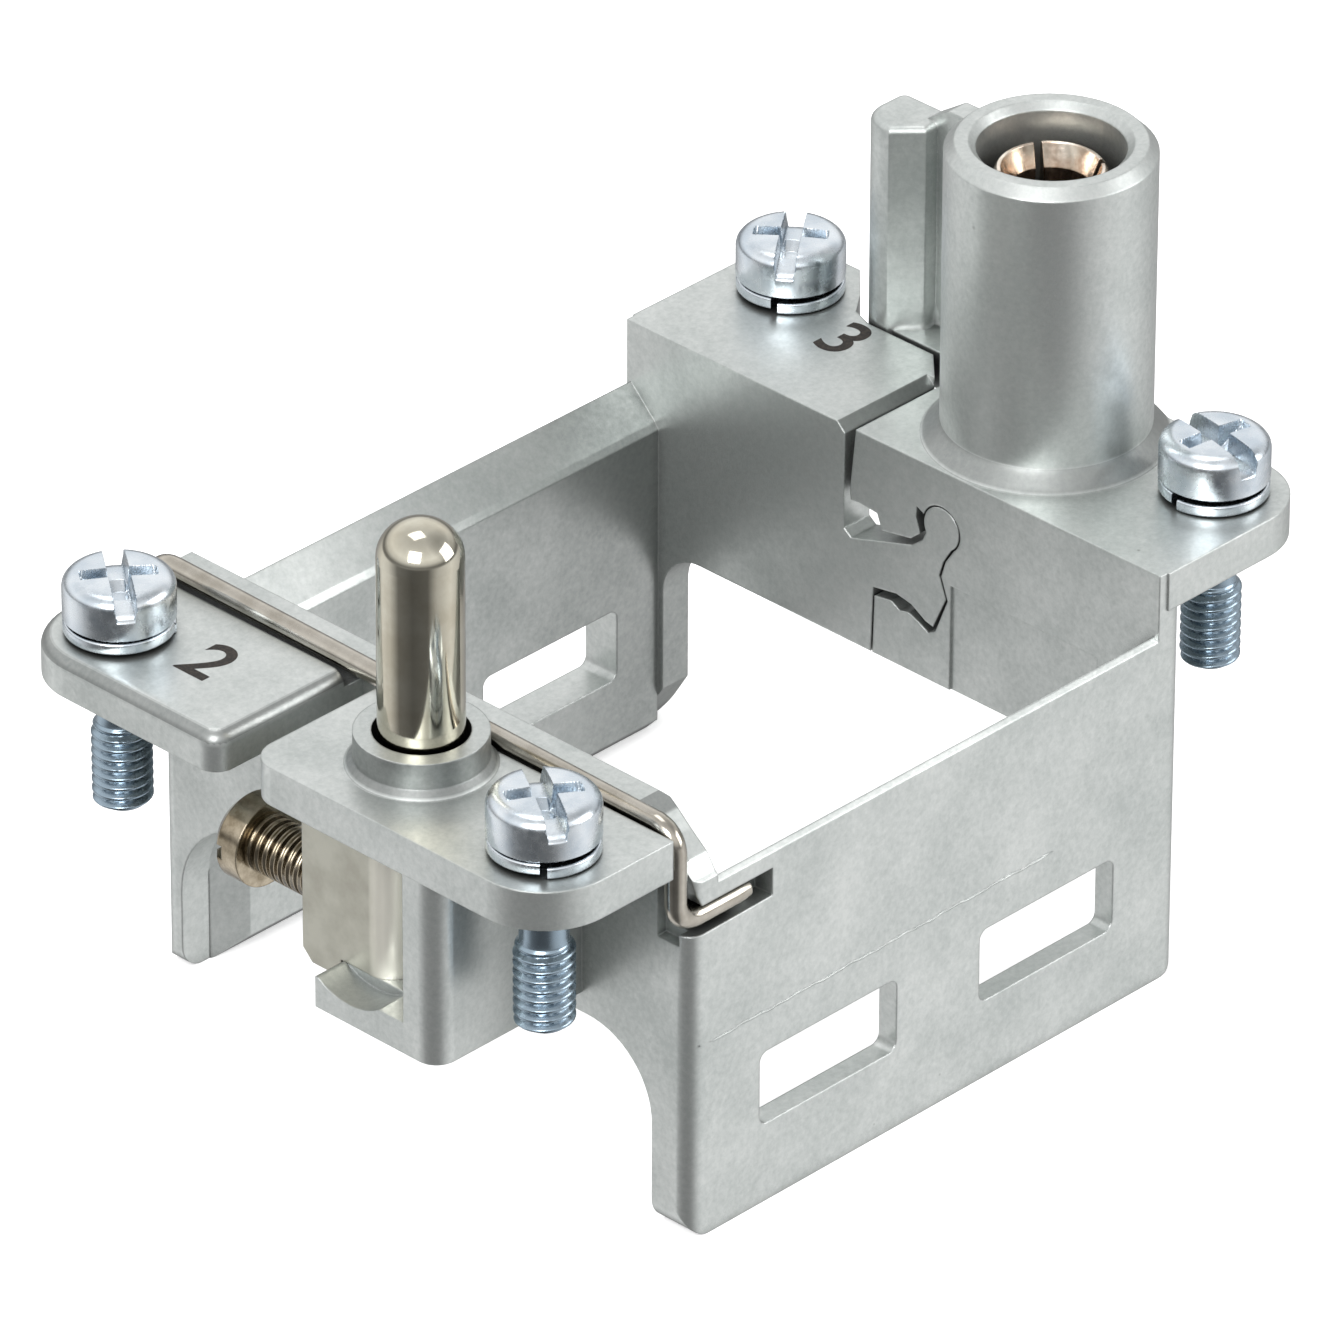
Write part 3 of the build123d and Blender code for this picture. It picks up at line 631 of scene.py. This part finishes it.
@dataclass
class FixingScrew:
    """Cheese head screw with a slot across a cross recess, a bare neck and a metric thread."""

    index: int
    x_mm: float
    y_mm: float
    turn_deg: float
    seat_z_mm: float = 5.45
    head_r_mm: float = 2.62
    head_t_mm: float = 2.25
    edge_r_mm: float = 0.7
    dome_mm: float = 0.12
    slot_w_mm: float = 0.95
    slot_depth_mm: float = 0.95
    cross_r_mm: float = 1.75
    cross_w_mm: float = 0.75
    cross_depth_mm: float = 1.35
    neck_r_mm: float = 1.15
    neck_end_z_mm: float = 0.0
    tip_z_mm: float = -4.5
    crest_r_mm: float = 1.42
    root_r_mm: float = 1.18
    pitch_mm: float = 0.5
    head_rings: int = 90
    head_spokes: int = 240
    barrel_spokes: int = 48

    def head_top(self) -> tuple[np.ndarray, np.ndarray]:
        """The recessed top of the head.

        A disc of rings and spokes. Its height is the head's top, less a rounded fall towards the
        rim, less the slot and the two bars of the cross, each a smooth-sided trench.

        Returns:
            Vertices and faces.
        """
        rings, spokes = self.head_rings, self.head_spokes
        r = np.linspace(0.012, 1.0, rings)[:, None] * self.head_r_mm
        a = np.linspace(0, 2 * math.pi, spokes, endpoint=False)[None, :]
        x, y = r * np.cos(a), r * np.sin(a)
        overshoot = np.clip((r - (self.head_r_mm - self.edge_r_mm)) / self.edge_r_mm, 0, 1)
        fall = self.edge_r_mm * (1 - np.sqrt(1 - overshoot**2 * 0.999)) + 0 * a
        fall = fall * (1 - self.dome_mm / self.edge_r_mm) + self.dome_mm * (r / self.head_r_mm) ** 2

        def trench(across: np.ndarray, along: np.ndarray, width: float, reach: float, depth: float) -> np.ndarray:
            """Depth of a trench with steep soft walls.

            Args:
                across: Distance from its middle line.
                along: Distance along that line.
                width: Its width.
                reach: Half its length.
                depth: Its full depth.

            Returns:
                The depth at each point.
            """
            side = np.clip((width / 2 + 0.04 - np.abs(across)) / 0.08, 0, 1)
            end = np.clip((reach + 0.05 - np.abs(along)) / 0.1, 0, 1)
            return depth * side * side * (3 - 2 * side) * end

        slot = trench(y, x, self.slot_w_mm, 9.0, self.slot_depth_mm)
        taper = np.clip(1.25 - r / self.cross_r_mm, 0.3, 1.0)
        bar = trench(x, y, self.cross_w_mm, self.cross_r_mm, self.cross_depth_mm) * taper
        bar2 = trench(y, x, self.cross_w_mm, self.cross_r_mm, self.cross_depth_mm) * taper
        z = self.head_t_mm - np.maximum.reduce([fall, slot + fall * 0.5, bar, bar2])
        vertices = np.stack([x + 0 * z, y + 0 * z, z], -1).reshape(-1, 3)
        faces = tube_faces(rings, spokes)
        centre = len(vertices)
        vertices = np.vstack([vertices, [0, 0, vertices[:spokes, 2].mean()]])
        c = np.arange(spokes)
        fan = np.stack([np.full(spokes, centre), c, (c + 1) % spokes], -1)
        return vertices, np.vstack([faces, np.hstack([fan, fan[:, :1]])])

    def barrel(self) -> tuple[np.ndarray, np.ndarray]:
        """The rest of the screw below the head's rim.

        A surface of revolution whose radius below the neck is the root plus a triangular ridge
        that climbs one pitch a turn: radius = root + height times (1 - 2 |fraction of pitch|).

        Returns:
            Vertices and faces.
        """
        spokes = self.barrel_spokes
        head = np.array(
            [
                (self.head_r_mm, 0.1),
                (self.head_r_mm - 0.1, 0.0),
                (self.neck_r_mm, 0.0),
                (self.neck_r_mm, self.neck_end_z_mm - self.seat_z_mm + 0.35),
            ]
        )
        z = np.linspace(self.neck_end_z_mm, self.tip_z_mm, 150) - self.seat_z_mm
        a = np.linspace(0, 2 * math.pi, spokes, endpoint=False)
        phase = np.mod(z[:, None] / self.pitch_mm - a[None, :] / (2 * math.pi), 1.0)
        ridge = 1 - np.abs(2 * phase - 1)
        depth = self.crest_r_mm - self.root_r_mm
        start = np.clip((z[0] - z) / 0.35, 0, 1)[:, None]
        end = np.clip((z - z[-1]) / 0.4, 0, 1)[:, None]
        radius = self.root_r_mm + depth * np.clip(ridge * 1.25, 0, 1) * start * end
        radius = radius - 0.35 * (1 - end) ** 2 + (self.neck_r_mm - self.root_r_mm) * (1 - start)
        rows = [np.stack([r * np.cos(a), r * np.sin(a), np.full(spokes, h)], -1) for r, h in head]
        thread = np.stack([radius * np.cos(a), radius * np.sin(a), np.repeat(z[:, None], spokes, 1)], -1)
        tip = np.stack([0.02 * np.cos(a), 0.02 * np.sin(a), np.full(spokes, z[-1])], -1)
        vertices = np.vstack([np.array(rows).reshape(-1, 3), thread.reshape(-1, 3), tip])
        return vertices, tube_faces(len(head) + len(z) + 1, spokes)

    def closing_faces(self, top_count: int, count: int) -> list[list[int]]:
        """Faces that close the screw: the head's side, from its fine rim to the coarser barrel, and the tip.

        Args:
            top_count: Number of vertices of the head's top, whose last ring is the rim.
            count: Number of all vertices.

        Returns:
            Lists of vertex indices.
        """
        share = self.head_spokes // self.barrel_spokes
        k = np.arange(self.barrel_spokes)[:, None]
        rim = (self.head_rings - 1) * self.head_spokes + (share * k + np.arange(share, -1, -1)) % self.head_spokes
        barrel = top_count + np.hstack([k, (k + 1) % self.barrel_spokes])
        return np.hstack([barrel, rim]).tolist() + [list(range(count - self.barrel_spokes, count))]

    def build(self, shelf: FinishShelf) -> bpy.types.Object:
        """Make the screw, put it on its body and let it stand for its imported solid.

        Args:
            shelf: The built finishes.

        Returns:
            The finished piece.
        """
        top_v, top_f = self.head_top()
        low_v, low_f = self.barrel()
        vertices = np.vstack([top_v, low_v])
        faces = [list(dict.fromkeys(f)) for f in top_f.tolist()] + (low_f + len(top_v)).tolist()
        faces += self.closing_faces(len(top_v), len(vertices))
        turn = math.radians(self.turn_deg)
        spin = np.array([[math.cos(turn), math.sin(turn), 0], [-math.sin(turn), math.cos(turn), 0], [0, 0, 1]])
        vertices = (vertices @ spin + np.array([self.x_mm, self.y_mm, self.seat_z_mm])) * MM
        obj = mesh_object(f"machine_screw_{self.index}", vertices, faces)
        shelf.dress(obj, shelf.materials[Finish.PLATED])
        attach(obj, f"screw_{self.index}")
        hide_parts(f"fixing_screw_{self.index}")
        LOG.info("built %s", obj.name)
        return obj


@dataclass
class SplitWasher:
    """Spring washer: a ring of rounded square section cut through once, its two ends sprung apart."""

    index: int
    x_mm: float
    y_mm: float
    split_deg: float
    body: str
    seat_z_mm: float = FLANGE_TOP_MM
    inner_r_mm: float = 1.62
    outer_r_mm: float = 2.6
    thick_mm: float = 0.6
    rise_mm: float = 0.22
    gap_mm: float = 0.34
    corner_mm: float = 0.14

    def build(self, shelf: FinishShelf) -> bpy.types.Object:
        """Carry the section once round the screw while it climbs evenly, and close both ends.

        Args:
            shelf: The built finishes.

        Returns:
            The finished piece.
        """
        c = self.corner_mm
        inner, outer, top = self.inner_r_mm + c, self.outer_r_mm - c, self.thick_mm - c
        arc = np.linspace(0, math.pi / 2, 5)
        section = np.array(
            [
                (u + c * math.cos(q + k * math.pi / 2), w + c * math.sin(q + k * math.pi / 2))
                for k, (u, w) in enumerate(((outer, top), (inner, top), (inner, c), (outer, c)))
                for q in arc
            ]
        )
        half = self.gap_mm / 2 / self.outer_r_mm
        a = (math.radians(self.split_deg) + np.linspace(half, 2 * math.pi - half, 130))[:, None]
        climb = np.linspace(0, self.rise_mm, len(a))[:, None]
        r, z = section[None, :, 0], section[None, :, 1]
        x, y = self.x_mm + r * np.cos(a), self.y_mm + r * np.sin(a)
        vertices = np.stack([x, y, self.seat_z_mm + z + climb], -1).reshape(-1, 3) * MM
        sides = len(section)
        faces = tube_faces(len(a), sides).tolist()
        faces += [list(range(sides)), list(range((len(a) - 1) * sides, len(a) * sides))]
        obj = mesh_object(f"split_washer_{self.index}", vertices, faces)
        shelf.dress(obj, shelf.materials[Finish.PLATED])
        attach(obj, self.body)
        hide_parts(f"lock_washer_{self.index}")
        LOG.info("built %s", obj.name)
        return obj


@dataclass
class LatchWire:
    """Bent spring wire: a round section carried along a path with rounded corners."""

    radius_mm: float = 0.525
    bend_r_mm: float = 1.15
    sides: int = 24
    end_share: float = 0.86
    corners_mm: tuple[tuple[float, float, float], ...] = (
        (-12.3, -16.55, -0.35),
        (-16.78, -16.55, -0.35),
        (-16.78, -16.55, 4.52),
        (-16.78, 16.55, 4.98),
        (-16.78, 16.55, -0.35),
        (-12.3, 16.55, -0.35),
    )

    def path(self) -> np.ndarray:
        """Points along the wire: straight runs, and each corner a quadratic curve between them.

        Returns:
            Array of shape (n, 3), in millimetres.
        """
        p = np.array(self.corners_mm)
        points = [p[:1]]
        for before, corner, after in zip(p[:-2], p[1:-1], p[2:]):
            u = (before - corner) / np.linalg.norm(before - corner)
            v = (after - corner) / np.linalg.norm(after - corner)
            t = np.linspace(0, 1, 11)[:, None]
            start, end = corner + u * self.bend_r_mm, corner + v * self.bend_r_mm
            middle = corner + (u + v) * self.bend_r_mm * 0.11
            points.append((1 - t) ** 2 * start + 2 * t * (1 - t) * middle + t**2 * end)
        points.append(p[-1:])
        rough = np.vstack(points)
        step = np.linalg.norm(np.diff(rough, axis=0), axis=1)
        along = np.concatenate([[0], np.cumsum(step)])
        wanted = np.unique(np.concatenate([along, np.arange(0, along[-1], 0.5)]))
        return np.stack([np.interp(wanted, along, rough[:, k]) for k in range(3)], -1)

    def build(self, shelf: FinishShelf) -> bpy.types.Object:
        """Sweep a circle along the path on frames carried without twist, and close both ends.

        Args:
            shelf: The built finishes.

        Returns:
            The finished piece.
        """
        p = self.path()
        tangent = np.gradient(p, axis=0)
        tangent /= np.linalg.norm(tangent, axis=1)[:, None]
        side = np.array([0.0, 0.0, 1.0])
        frames = []
        for t in tangent:
            side = side - t * (side @ t)
            side = side / np.linalg.norm(side)
            frames.append((side, np.cross(t, side)))
        first = np.array([f[0] for f in frames])[:, None, :]
        second = np.array([f[1] for f in frames])[:, None, :]
        a = np.linspace(0, 2 * math.pi, self.sides, endpoint=False)[None, :, None]
        ends = np.ones(len(p))
        ends[0] = ends[-1] = self.end_share
        ring = (np.cos(a) * first + np.sin(a) * second) * (self.radius_mm * ends)[:, None, None]
        tube = (p[:, None, :] + ring).reshape(-1, 3)
        faces = tube_faces(len(p), self.sides).tolist()
        faces += [list(range(self.sides)), list(range(len(tube) - self.sides, len(tube)))]
        obj = mesh_object("bent_latch_wire", tube * MM, faces)
        shelf.dress(obj, shelf.materials[Finish.SPRING])
        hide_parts("latch_wire")
        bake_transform(obj)
        LOG.info("built %s", obj.name)
        return obj


@dataclass
class CastingSeam:
    """The faint raised line that the die's parting left along the front wall."""

    start_x_mm: float = -15.7
    end_x_mm: float = 8.2
    wall_y_mm: float = -17.0
    z_mm: float = -7.1
    half_w_mm: float = 0.085
    proud_mm: float = 0.05
    sunk_mm: float = 0.02
    steps: int = 160
    sides: int = 7

    def build(self, shelf: FinishShelf) -> bpy.types.Object:
        """Carry a low arch along X, its width and line wavering a little, with both ends run out.

        Height over the wall = proud times the sine of half a turn across the seam; the waver is a
        sum of two sines of x.

        Args:
            shelf: The built finishes.

        Returns:
            The finished piece.
        """
        x = np.linspace(self.start_x_mm, self.end_x_mm, self.steps)[:, None]
        across = np.linspace(0, math.pi, self.sides)[None, :]
        run = np.clip(np.minimum(x - x[0], x[-1] - x) / 1.2, 0.02, 1)
        waver = 0.03 * np.sin(1.9 * x) + 0.02 * np.sin(5.3 * x + 1)
        swell = run * (0.75 + 0.25 * np.sin(2.7 * x + 2))
        z = self.z_mm + waver + np.cos(across) * self.half_w_mm * (0.5 + 0.5 * run)
        y = self.wall_y_mm + self.sunk_mm - (np.sin(across) * self.proud_mm + self.sunk_mm) * swell
        vertices = np.stack([x + 0 * across, y, z], -1).reshape(-1, 3) * MM
        faces = tube_faces(self.steps, self.sides).tolist()
        faces += [list(range(self.sides)), list(range(len(vertices) - self.sides, len(vertices)))]
        obj = mesh_object("casting_seam", vertices, faces)
        shelf.dress(obj, shelf.materials[Finish.CASTING])
        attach(obj, "front_half")
        LOG.info("built %s", obj.name)
        return obj


@dataclass
class FlangeNumeral:
    """A plain numeral marked on a flange."""

    text: str
    x_mm: float
    y_mm: float
    height_mm: float
    body: str = "back_half"
    face_z_mm: float = FLANGE_TOP_MM

    def build(self, shelf: FinishShelf) -> bpy.types.Object:
        """Outline the numeral, lay it on the flange and turn it into a mesh.

        Args:
            shelf: The built finishes.

        Returns:
            The finished piece.
        """
        curve = bpy.data.curves.new(f"numeral_{self.text}", "FONT")
        curve.body = self.text
        curve.size = self.height_mm * MM / 0.72
        curve.align_x = "CENTER"
        curve.align_y = "CENTER"
        curve.offset = 0.05 * MM
        curve.extrude = 0.012 * MM
        curve.resolution_u = 8
        source = bpy.data.objects.new("numeral_source", curve)
        bpy.context.scene.collection.objects.link(source)
        bpy.context.view_layer.update()
        mesh = bpy.data.meshes.new_from_object(source)
        bpy.data.objects.remove(source)
        mesh.name = f"numeral_{self.text}"
        turn = Matrix.Rotation(math.radians(-90), 4, "Z")
        place = Matrix.Translation((self.x_mm * MM, self.y_mm * MM, self.face_z_mm * MM))
        mesh.transform(place @ turn)
        shell = bmesh.new()
        shell.from_mesh(mesh)
        bmesh.ops.remove_doubles(shell, verts=shell.verts, dist=0.003 * MM)
        bmesh.ops.dissolve_degenerate(shell, edges=shell.edges, dist=0.0005 * MM)
        bmesh.ops.recalc_face_normals(shell, faces=shell.faces)
        shell.to_mesh(mesh)
        shell.free()
        mesh.polygons.foreach_set("use_smooth", np.zeros(len(mesh.polygons), bool))
        obj = bpy.data.objects.new(f"numeral_{self.text}", mesh)
        bpy.context.scene.collection.objects.link(obj)
        shelf.dress(obj, shelf.ink)
        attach(obj, self.body)
        LOG.info("built %s", obj.name)
        return obj


@dataclass
class Studio:
    """White floor, a white room with softly darker cards that the metal mirrors, and large soft lamps.

    belt is the room's level by height, from the horizon to overhead, and cards its level below the
    table by compass direction, 0 towards the viewer and 90 to the right. Towards dim_side the sky
    is weaker, from its full strength to that at the middle.
    """

    floor_z_mm: float = -17.3
    floor_half_m: float = 1.5
    azimuth_deg: float = -45.94
    elevation_deg: float = 31.02
    roll_deg: float = 0.178
    distance_mm: float = 652.3
    right_mm: float = -0.294
    up_mm: float = -4.807
    drawing_z_mm: float = FLANGE_TOP_MM
    lens_mm: float = 386.2
    sky_strength: float = 0.9
    table_strength: float = 1.4
    dim_side: tuple[float, float, float] = (0.616, -0.515, 0.596)
    dim_strength: float = 0.45
    belt: tuple[tuple[float, float], ...] = (
        (0.0, 0.35),
        (0.08, 0.25),
        (0.25, 1.0),
        (0.45, 1.35),
        (0.7, 1.1),
        (1.0, 0.8),
    )
    lamps: tuple[tuple[str, tuple[float, float, float], float, float], ...] = (
        ("key_lamp", (-0.95, -0.5, 0.75), 0.7, 10.0),
        ("fill_lamp", (0.8, -1.0, 0.5), 0.8, 8.0),
        ("top_lamp", (0.1, 0.3, 1.3), 0.6, 2.5),
    )
    cards: tuple[tuple[float, float], ...] = (
        (-180, 0.25),
        (-150, 0.30),
        (-112, 0.78),
        (-85, 0.62),
        (-58, 0.16),
        (-20, 0.09),
        (20, 0.12),
        (45, 0.5),
        (85, 0.8),
        (120, 0.52),
        (150, 0.30),
        (180, 0.25),
    )

    def camera(self) -> None:
        """Place the camera at the picture's angle; its axes come from azimuth, elevation and roll."""
        a, e, r = (math.radians(v) for v in (self.azimuth_deg, self.elevation_deg, self.roll_deg))
        back = Vector((math.sin(a) * math.cos(e), -math.cos(a) * math.cos(e), math.sin(e)))
        level = Vector((math.cos(a), math.sin(a), 0))
        rise = back.cross(level)
        right = level * math.cos(r) + rise * math.sin(r)
        up = rise * math.cos(r) - level * math.sin(r)
        data = bpy.data.cameras.new("camera")
        data.lens = self.lens_mm
        data.sensor_width = 36
        data.clip_end = 10
        obj = bpy.data.objects.new("camera", data)
        place = (right * self.right_mm + up * self.up_mm + back * self.distance_mm) * MM
        place.z += self.drawing_z_mm * MM
        obj.matrix_world = Matrix.Translation(place) @ Matrix((right, up, back)).transposed().to_4x4()
        bpy.context.scene.collection.objects.link(obj)
        bpy.context.scene.camera = obj

    def lamp(self, name: str, place_m: tuple[float, float, float], size_m: float, power: float) -> None:
        """Add a square soft lamp that faces the object.

        Args:
            name: The lamp's name.
            place_m: Where it hangs.
            size_m: Length of its side.
            power: Its power in watts.
        """
        data = bpy.data.lights.new(name, "AREA")
        data.size = size_m
        data.energy = power
        obj = bpy.data.objects.new(name, data)
        obj.location = place_m
        obj.rotation_euler = (-Vector(place_m)).to_track_quat("-Z", "Y").to_euler()
        bpy.context.scene.collection.objects.link(obj)

    def surroundings(self) -> None:
        """White to the eye; mirror surfaces see a pale room with a darker belt near the horizon."""
        world = bpy.data.worlds.new("studio")
        world.use_nodes = True
        tree = world.node_tree
        tree.nodes.clear()
        ray = add_node(tree, "ShaderNodeLightPath").outputs
        direction = add_node(tree, "ShaderNodeTexCoord").outputs["Generated"]
        parts = add_node(tree, "ShaderNodeSeparateXYZ", {}, {0: direction}).outputs
        belt = colour_ramp(tree, parts["Z"], self.belt)
        aim = {"operation": "DOT_PRODUCT", 1: self.dim_side}
        towards = add_node(tree, "ShaderNodeVectorMath", aim, {0: direction}).outputs["Value"]
        weaker = {1: 0.72, 2: 0.97, 3: self.sky_strength, 4: self.dim_strength}
        level = add_node(tree, "ShaderNodeMapRange", weaker, {0: towards}).outputs[0]
        sky = add_node(tree, "ShaderNodeBackground", {}, {"Color": belt, "Strength": level}).outputs[0]
        tone = self.card_tone(tree, direction)
        table = add_node(tree, "ShaderNodeBackground", {"Strength": self.table_strength}, {"Color": tone}).outputs[0]
        below = add_node(tree, "ShaderNodeMapRange", {1: -0.05, 2: 0.0, 3: 1.0, 4: 0.0}, {0: parts["Z"]}).outputs[0]
        room = add_node(tree, "ShaderNodeMixShader", {}, {0: below, 1: sky, 2: table}).outputs[0]
        white = add_node(tree, "ShaderNodeBackground", {"Color": (1, 1, 1, 1), "Strength": 1.0}).outputs[0]
        mixed = add_node(tree, "ShaderNodeMixShader", {}, {0: ray["Is Camera Ray"], 1: room, 2: white}).outputs[0]
        add_node(tree, "ShaderNodeOutputWorld", {}, {"Surface": mixed})
        bpy.context.scene.world = world

    def card_tone(self, tree: bpy.types.NodeTree, direction: bpy.types.NodeSocket) -> bpy.types.NodeSocket:
        """How bright the room is below the table's level, by the compass direction in the studio.

        Dark cards stand on the camera's side and behind, and white ones to the right and the left.

        Args:
            tree: The world's node tree.
            direction: The direction in the room.

        Returns:
            The grey tone's output.
        """
        a = math.radians(self.azimuth_deg)
        right, front = (
            add_node(
                tree, "ShaderNodeVectorMath", {"operation": "DOT_PRODUCT", 1: axis}, {0: direction}
            ).outputs["Value"]
            for axis in ((math.cos(a), math.sin(a), 0), (math.sin(a), -math.cos(a), 0))
        )
        angle = add_node(tree, "ShaderNodeMath", {"operation": "ARCTAN2"}, {0: right, 1: front}).outputs[0]
        ends = {1: -math.pi, 2: math.pi, 3: 0.0, 4: 1.0}
        turn = add_node(tree, "ShaderNodeMapRange", ends, {0: angle}).outputs[0]
        return colour_ramp(tree, turn, [((degrees + 180) / 360, tone) for degrees, tone in self.cards])

    def floor(self) -> None:
        """Lay the pale floor; it keeps a faint shadow, and mirrored rays pass it to the cards below."""
        h = self.floor_half_m
        corners = np.array([(-h, -h, 0), (h, -h, 0), (h, h, 0), (-h, h, 0)], float)
        corners[:, 2] = self.floor_z_mm * MM
        obj = mesh_object("floor", corners, [[0, 1, 2, 3]], sharp_deg=None)
        material, tree, shader = new_material("matt_white_paper", metallic=0.0)
        place = add_node(tree, "ShaderNodeTexCoord").outputs["Object"]
        fibre = noise(tree, place, 2.0, detail=3.0, rough=0.5)
        tree.links.new(colour_ramp(tree, fibre, [(0.3, "#fafafa"), (0.7, "#ffffff")]), shader.inputs["Base Color"])
        shader.inputs["Roughness"].default_value = 0.9
        shader.inputs["Specular IOR Level"].default_value = 0.1
        ray = add_node(tree, "ShaderNodeLightPath").outputs
        glow = add_node(tree, "ShaderNodeEmission", {"Color": (1, 1, 1, 1), "Strength": 0.4}).outputs[0]
        both = add_node(tree, "ShaderNodeAddShader", {}, {0: shader.outputs[0], 1: glow}).outputs[0]
        lit = {0: ray["Is Camera Ray"], 1: shader.outputs[0], 2: both}
        to_eye = add_node(tree, "ShaderNodeMixShader", {}, lit).outputs[0]
        clear = add_node(tree, "ShaderNodeBsdfTransparent").outputs[0]
        mixed = add_node(tree, "ShaderNodeMixShader", {}, {0: ray["Is Glossy Ray"], 1: to_eye, 2: clear}).outputs[0]
        tree.links.new(mixed, tree.nodes["Material Output"].inputs["Surface"])
        obj.data.materials.append(material)

    def build(self) -> None:
        """Set up camera, floor, surroundings and lamps."""
        bpy.context.scene.view_settings.view_transform = "Standard"
        self.camera()
        self.floor()
        self.surroundings()
        for name, place_m, size_m, power in self.lamps:
            self.lamp(name, place_m, size_m, power)


def main() -> None:
    """Load the frame, build and dress every piece, and set the studio up."""
    logging.basicConfig(level=logging.INFO, format="%(name)s: %(message)s")
    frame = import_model()
    shelf = FinishShelf()
    CarriedNodes().dress(frame["nodes"], shelf)
    for index, x_mm, y_mm, turn_deg, _, _ in CORNERS:
        FixingScrew(index, x_mm, y_mm, turn_deg).build(shelf)
    for index, x_mm, y_mm, _, split_deg, body in CORNERS:
        SplitWasher(index, x_mm, y_mm, split_deg, body).build(shelf)
    LatchWire().build(shelf)
    CastingSeam().build(shelf)
    FlangeNumeral("2", -21.2, 8.6, 3.0).build(shelf)
    FlangeNumeral("3", 20.2, 8.4, 3.0).build(shelf)
    Studio().build()


if __name__ == "__main__":
    main()
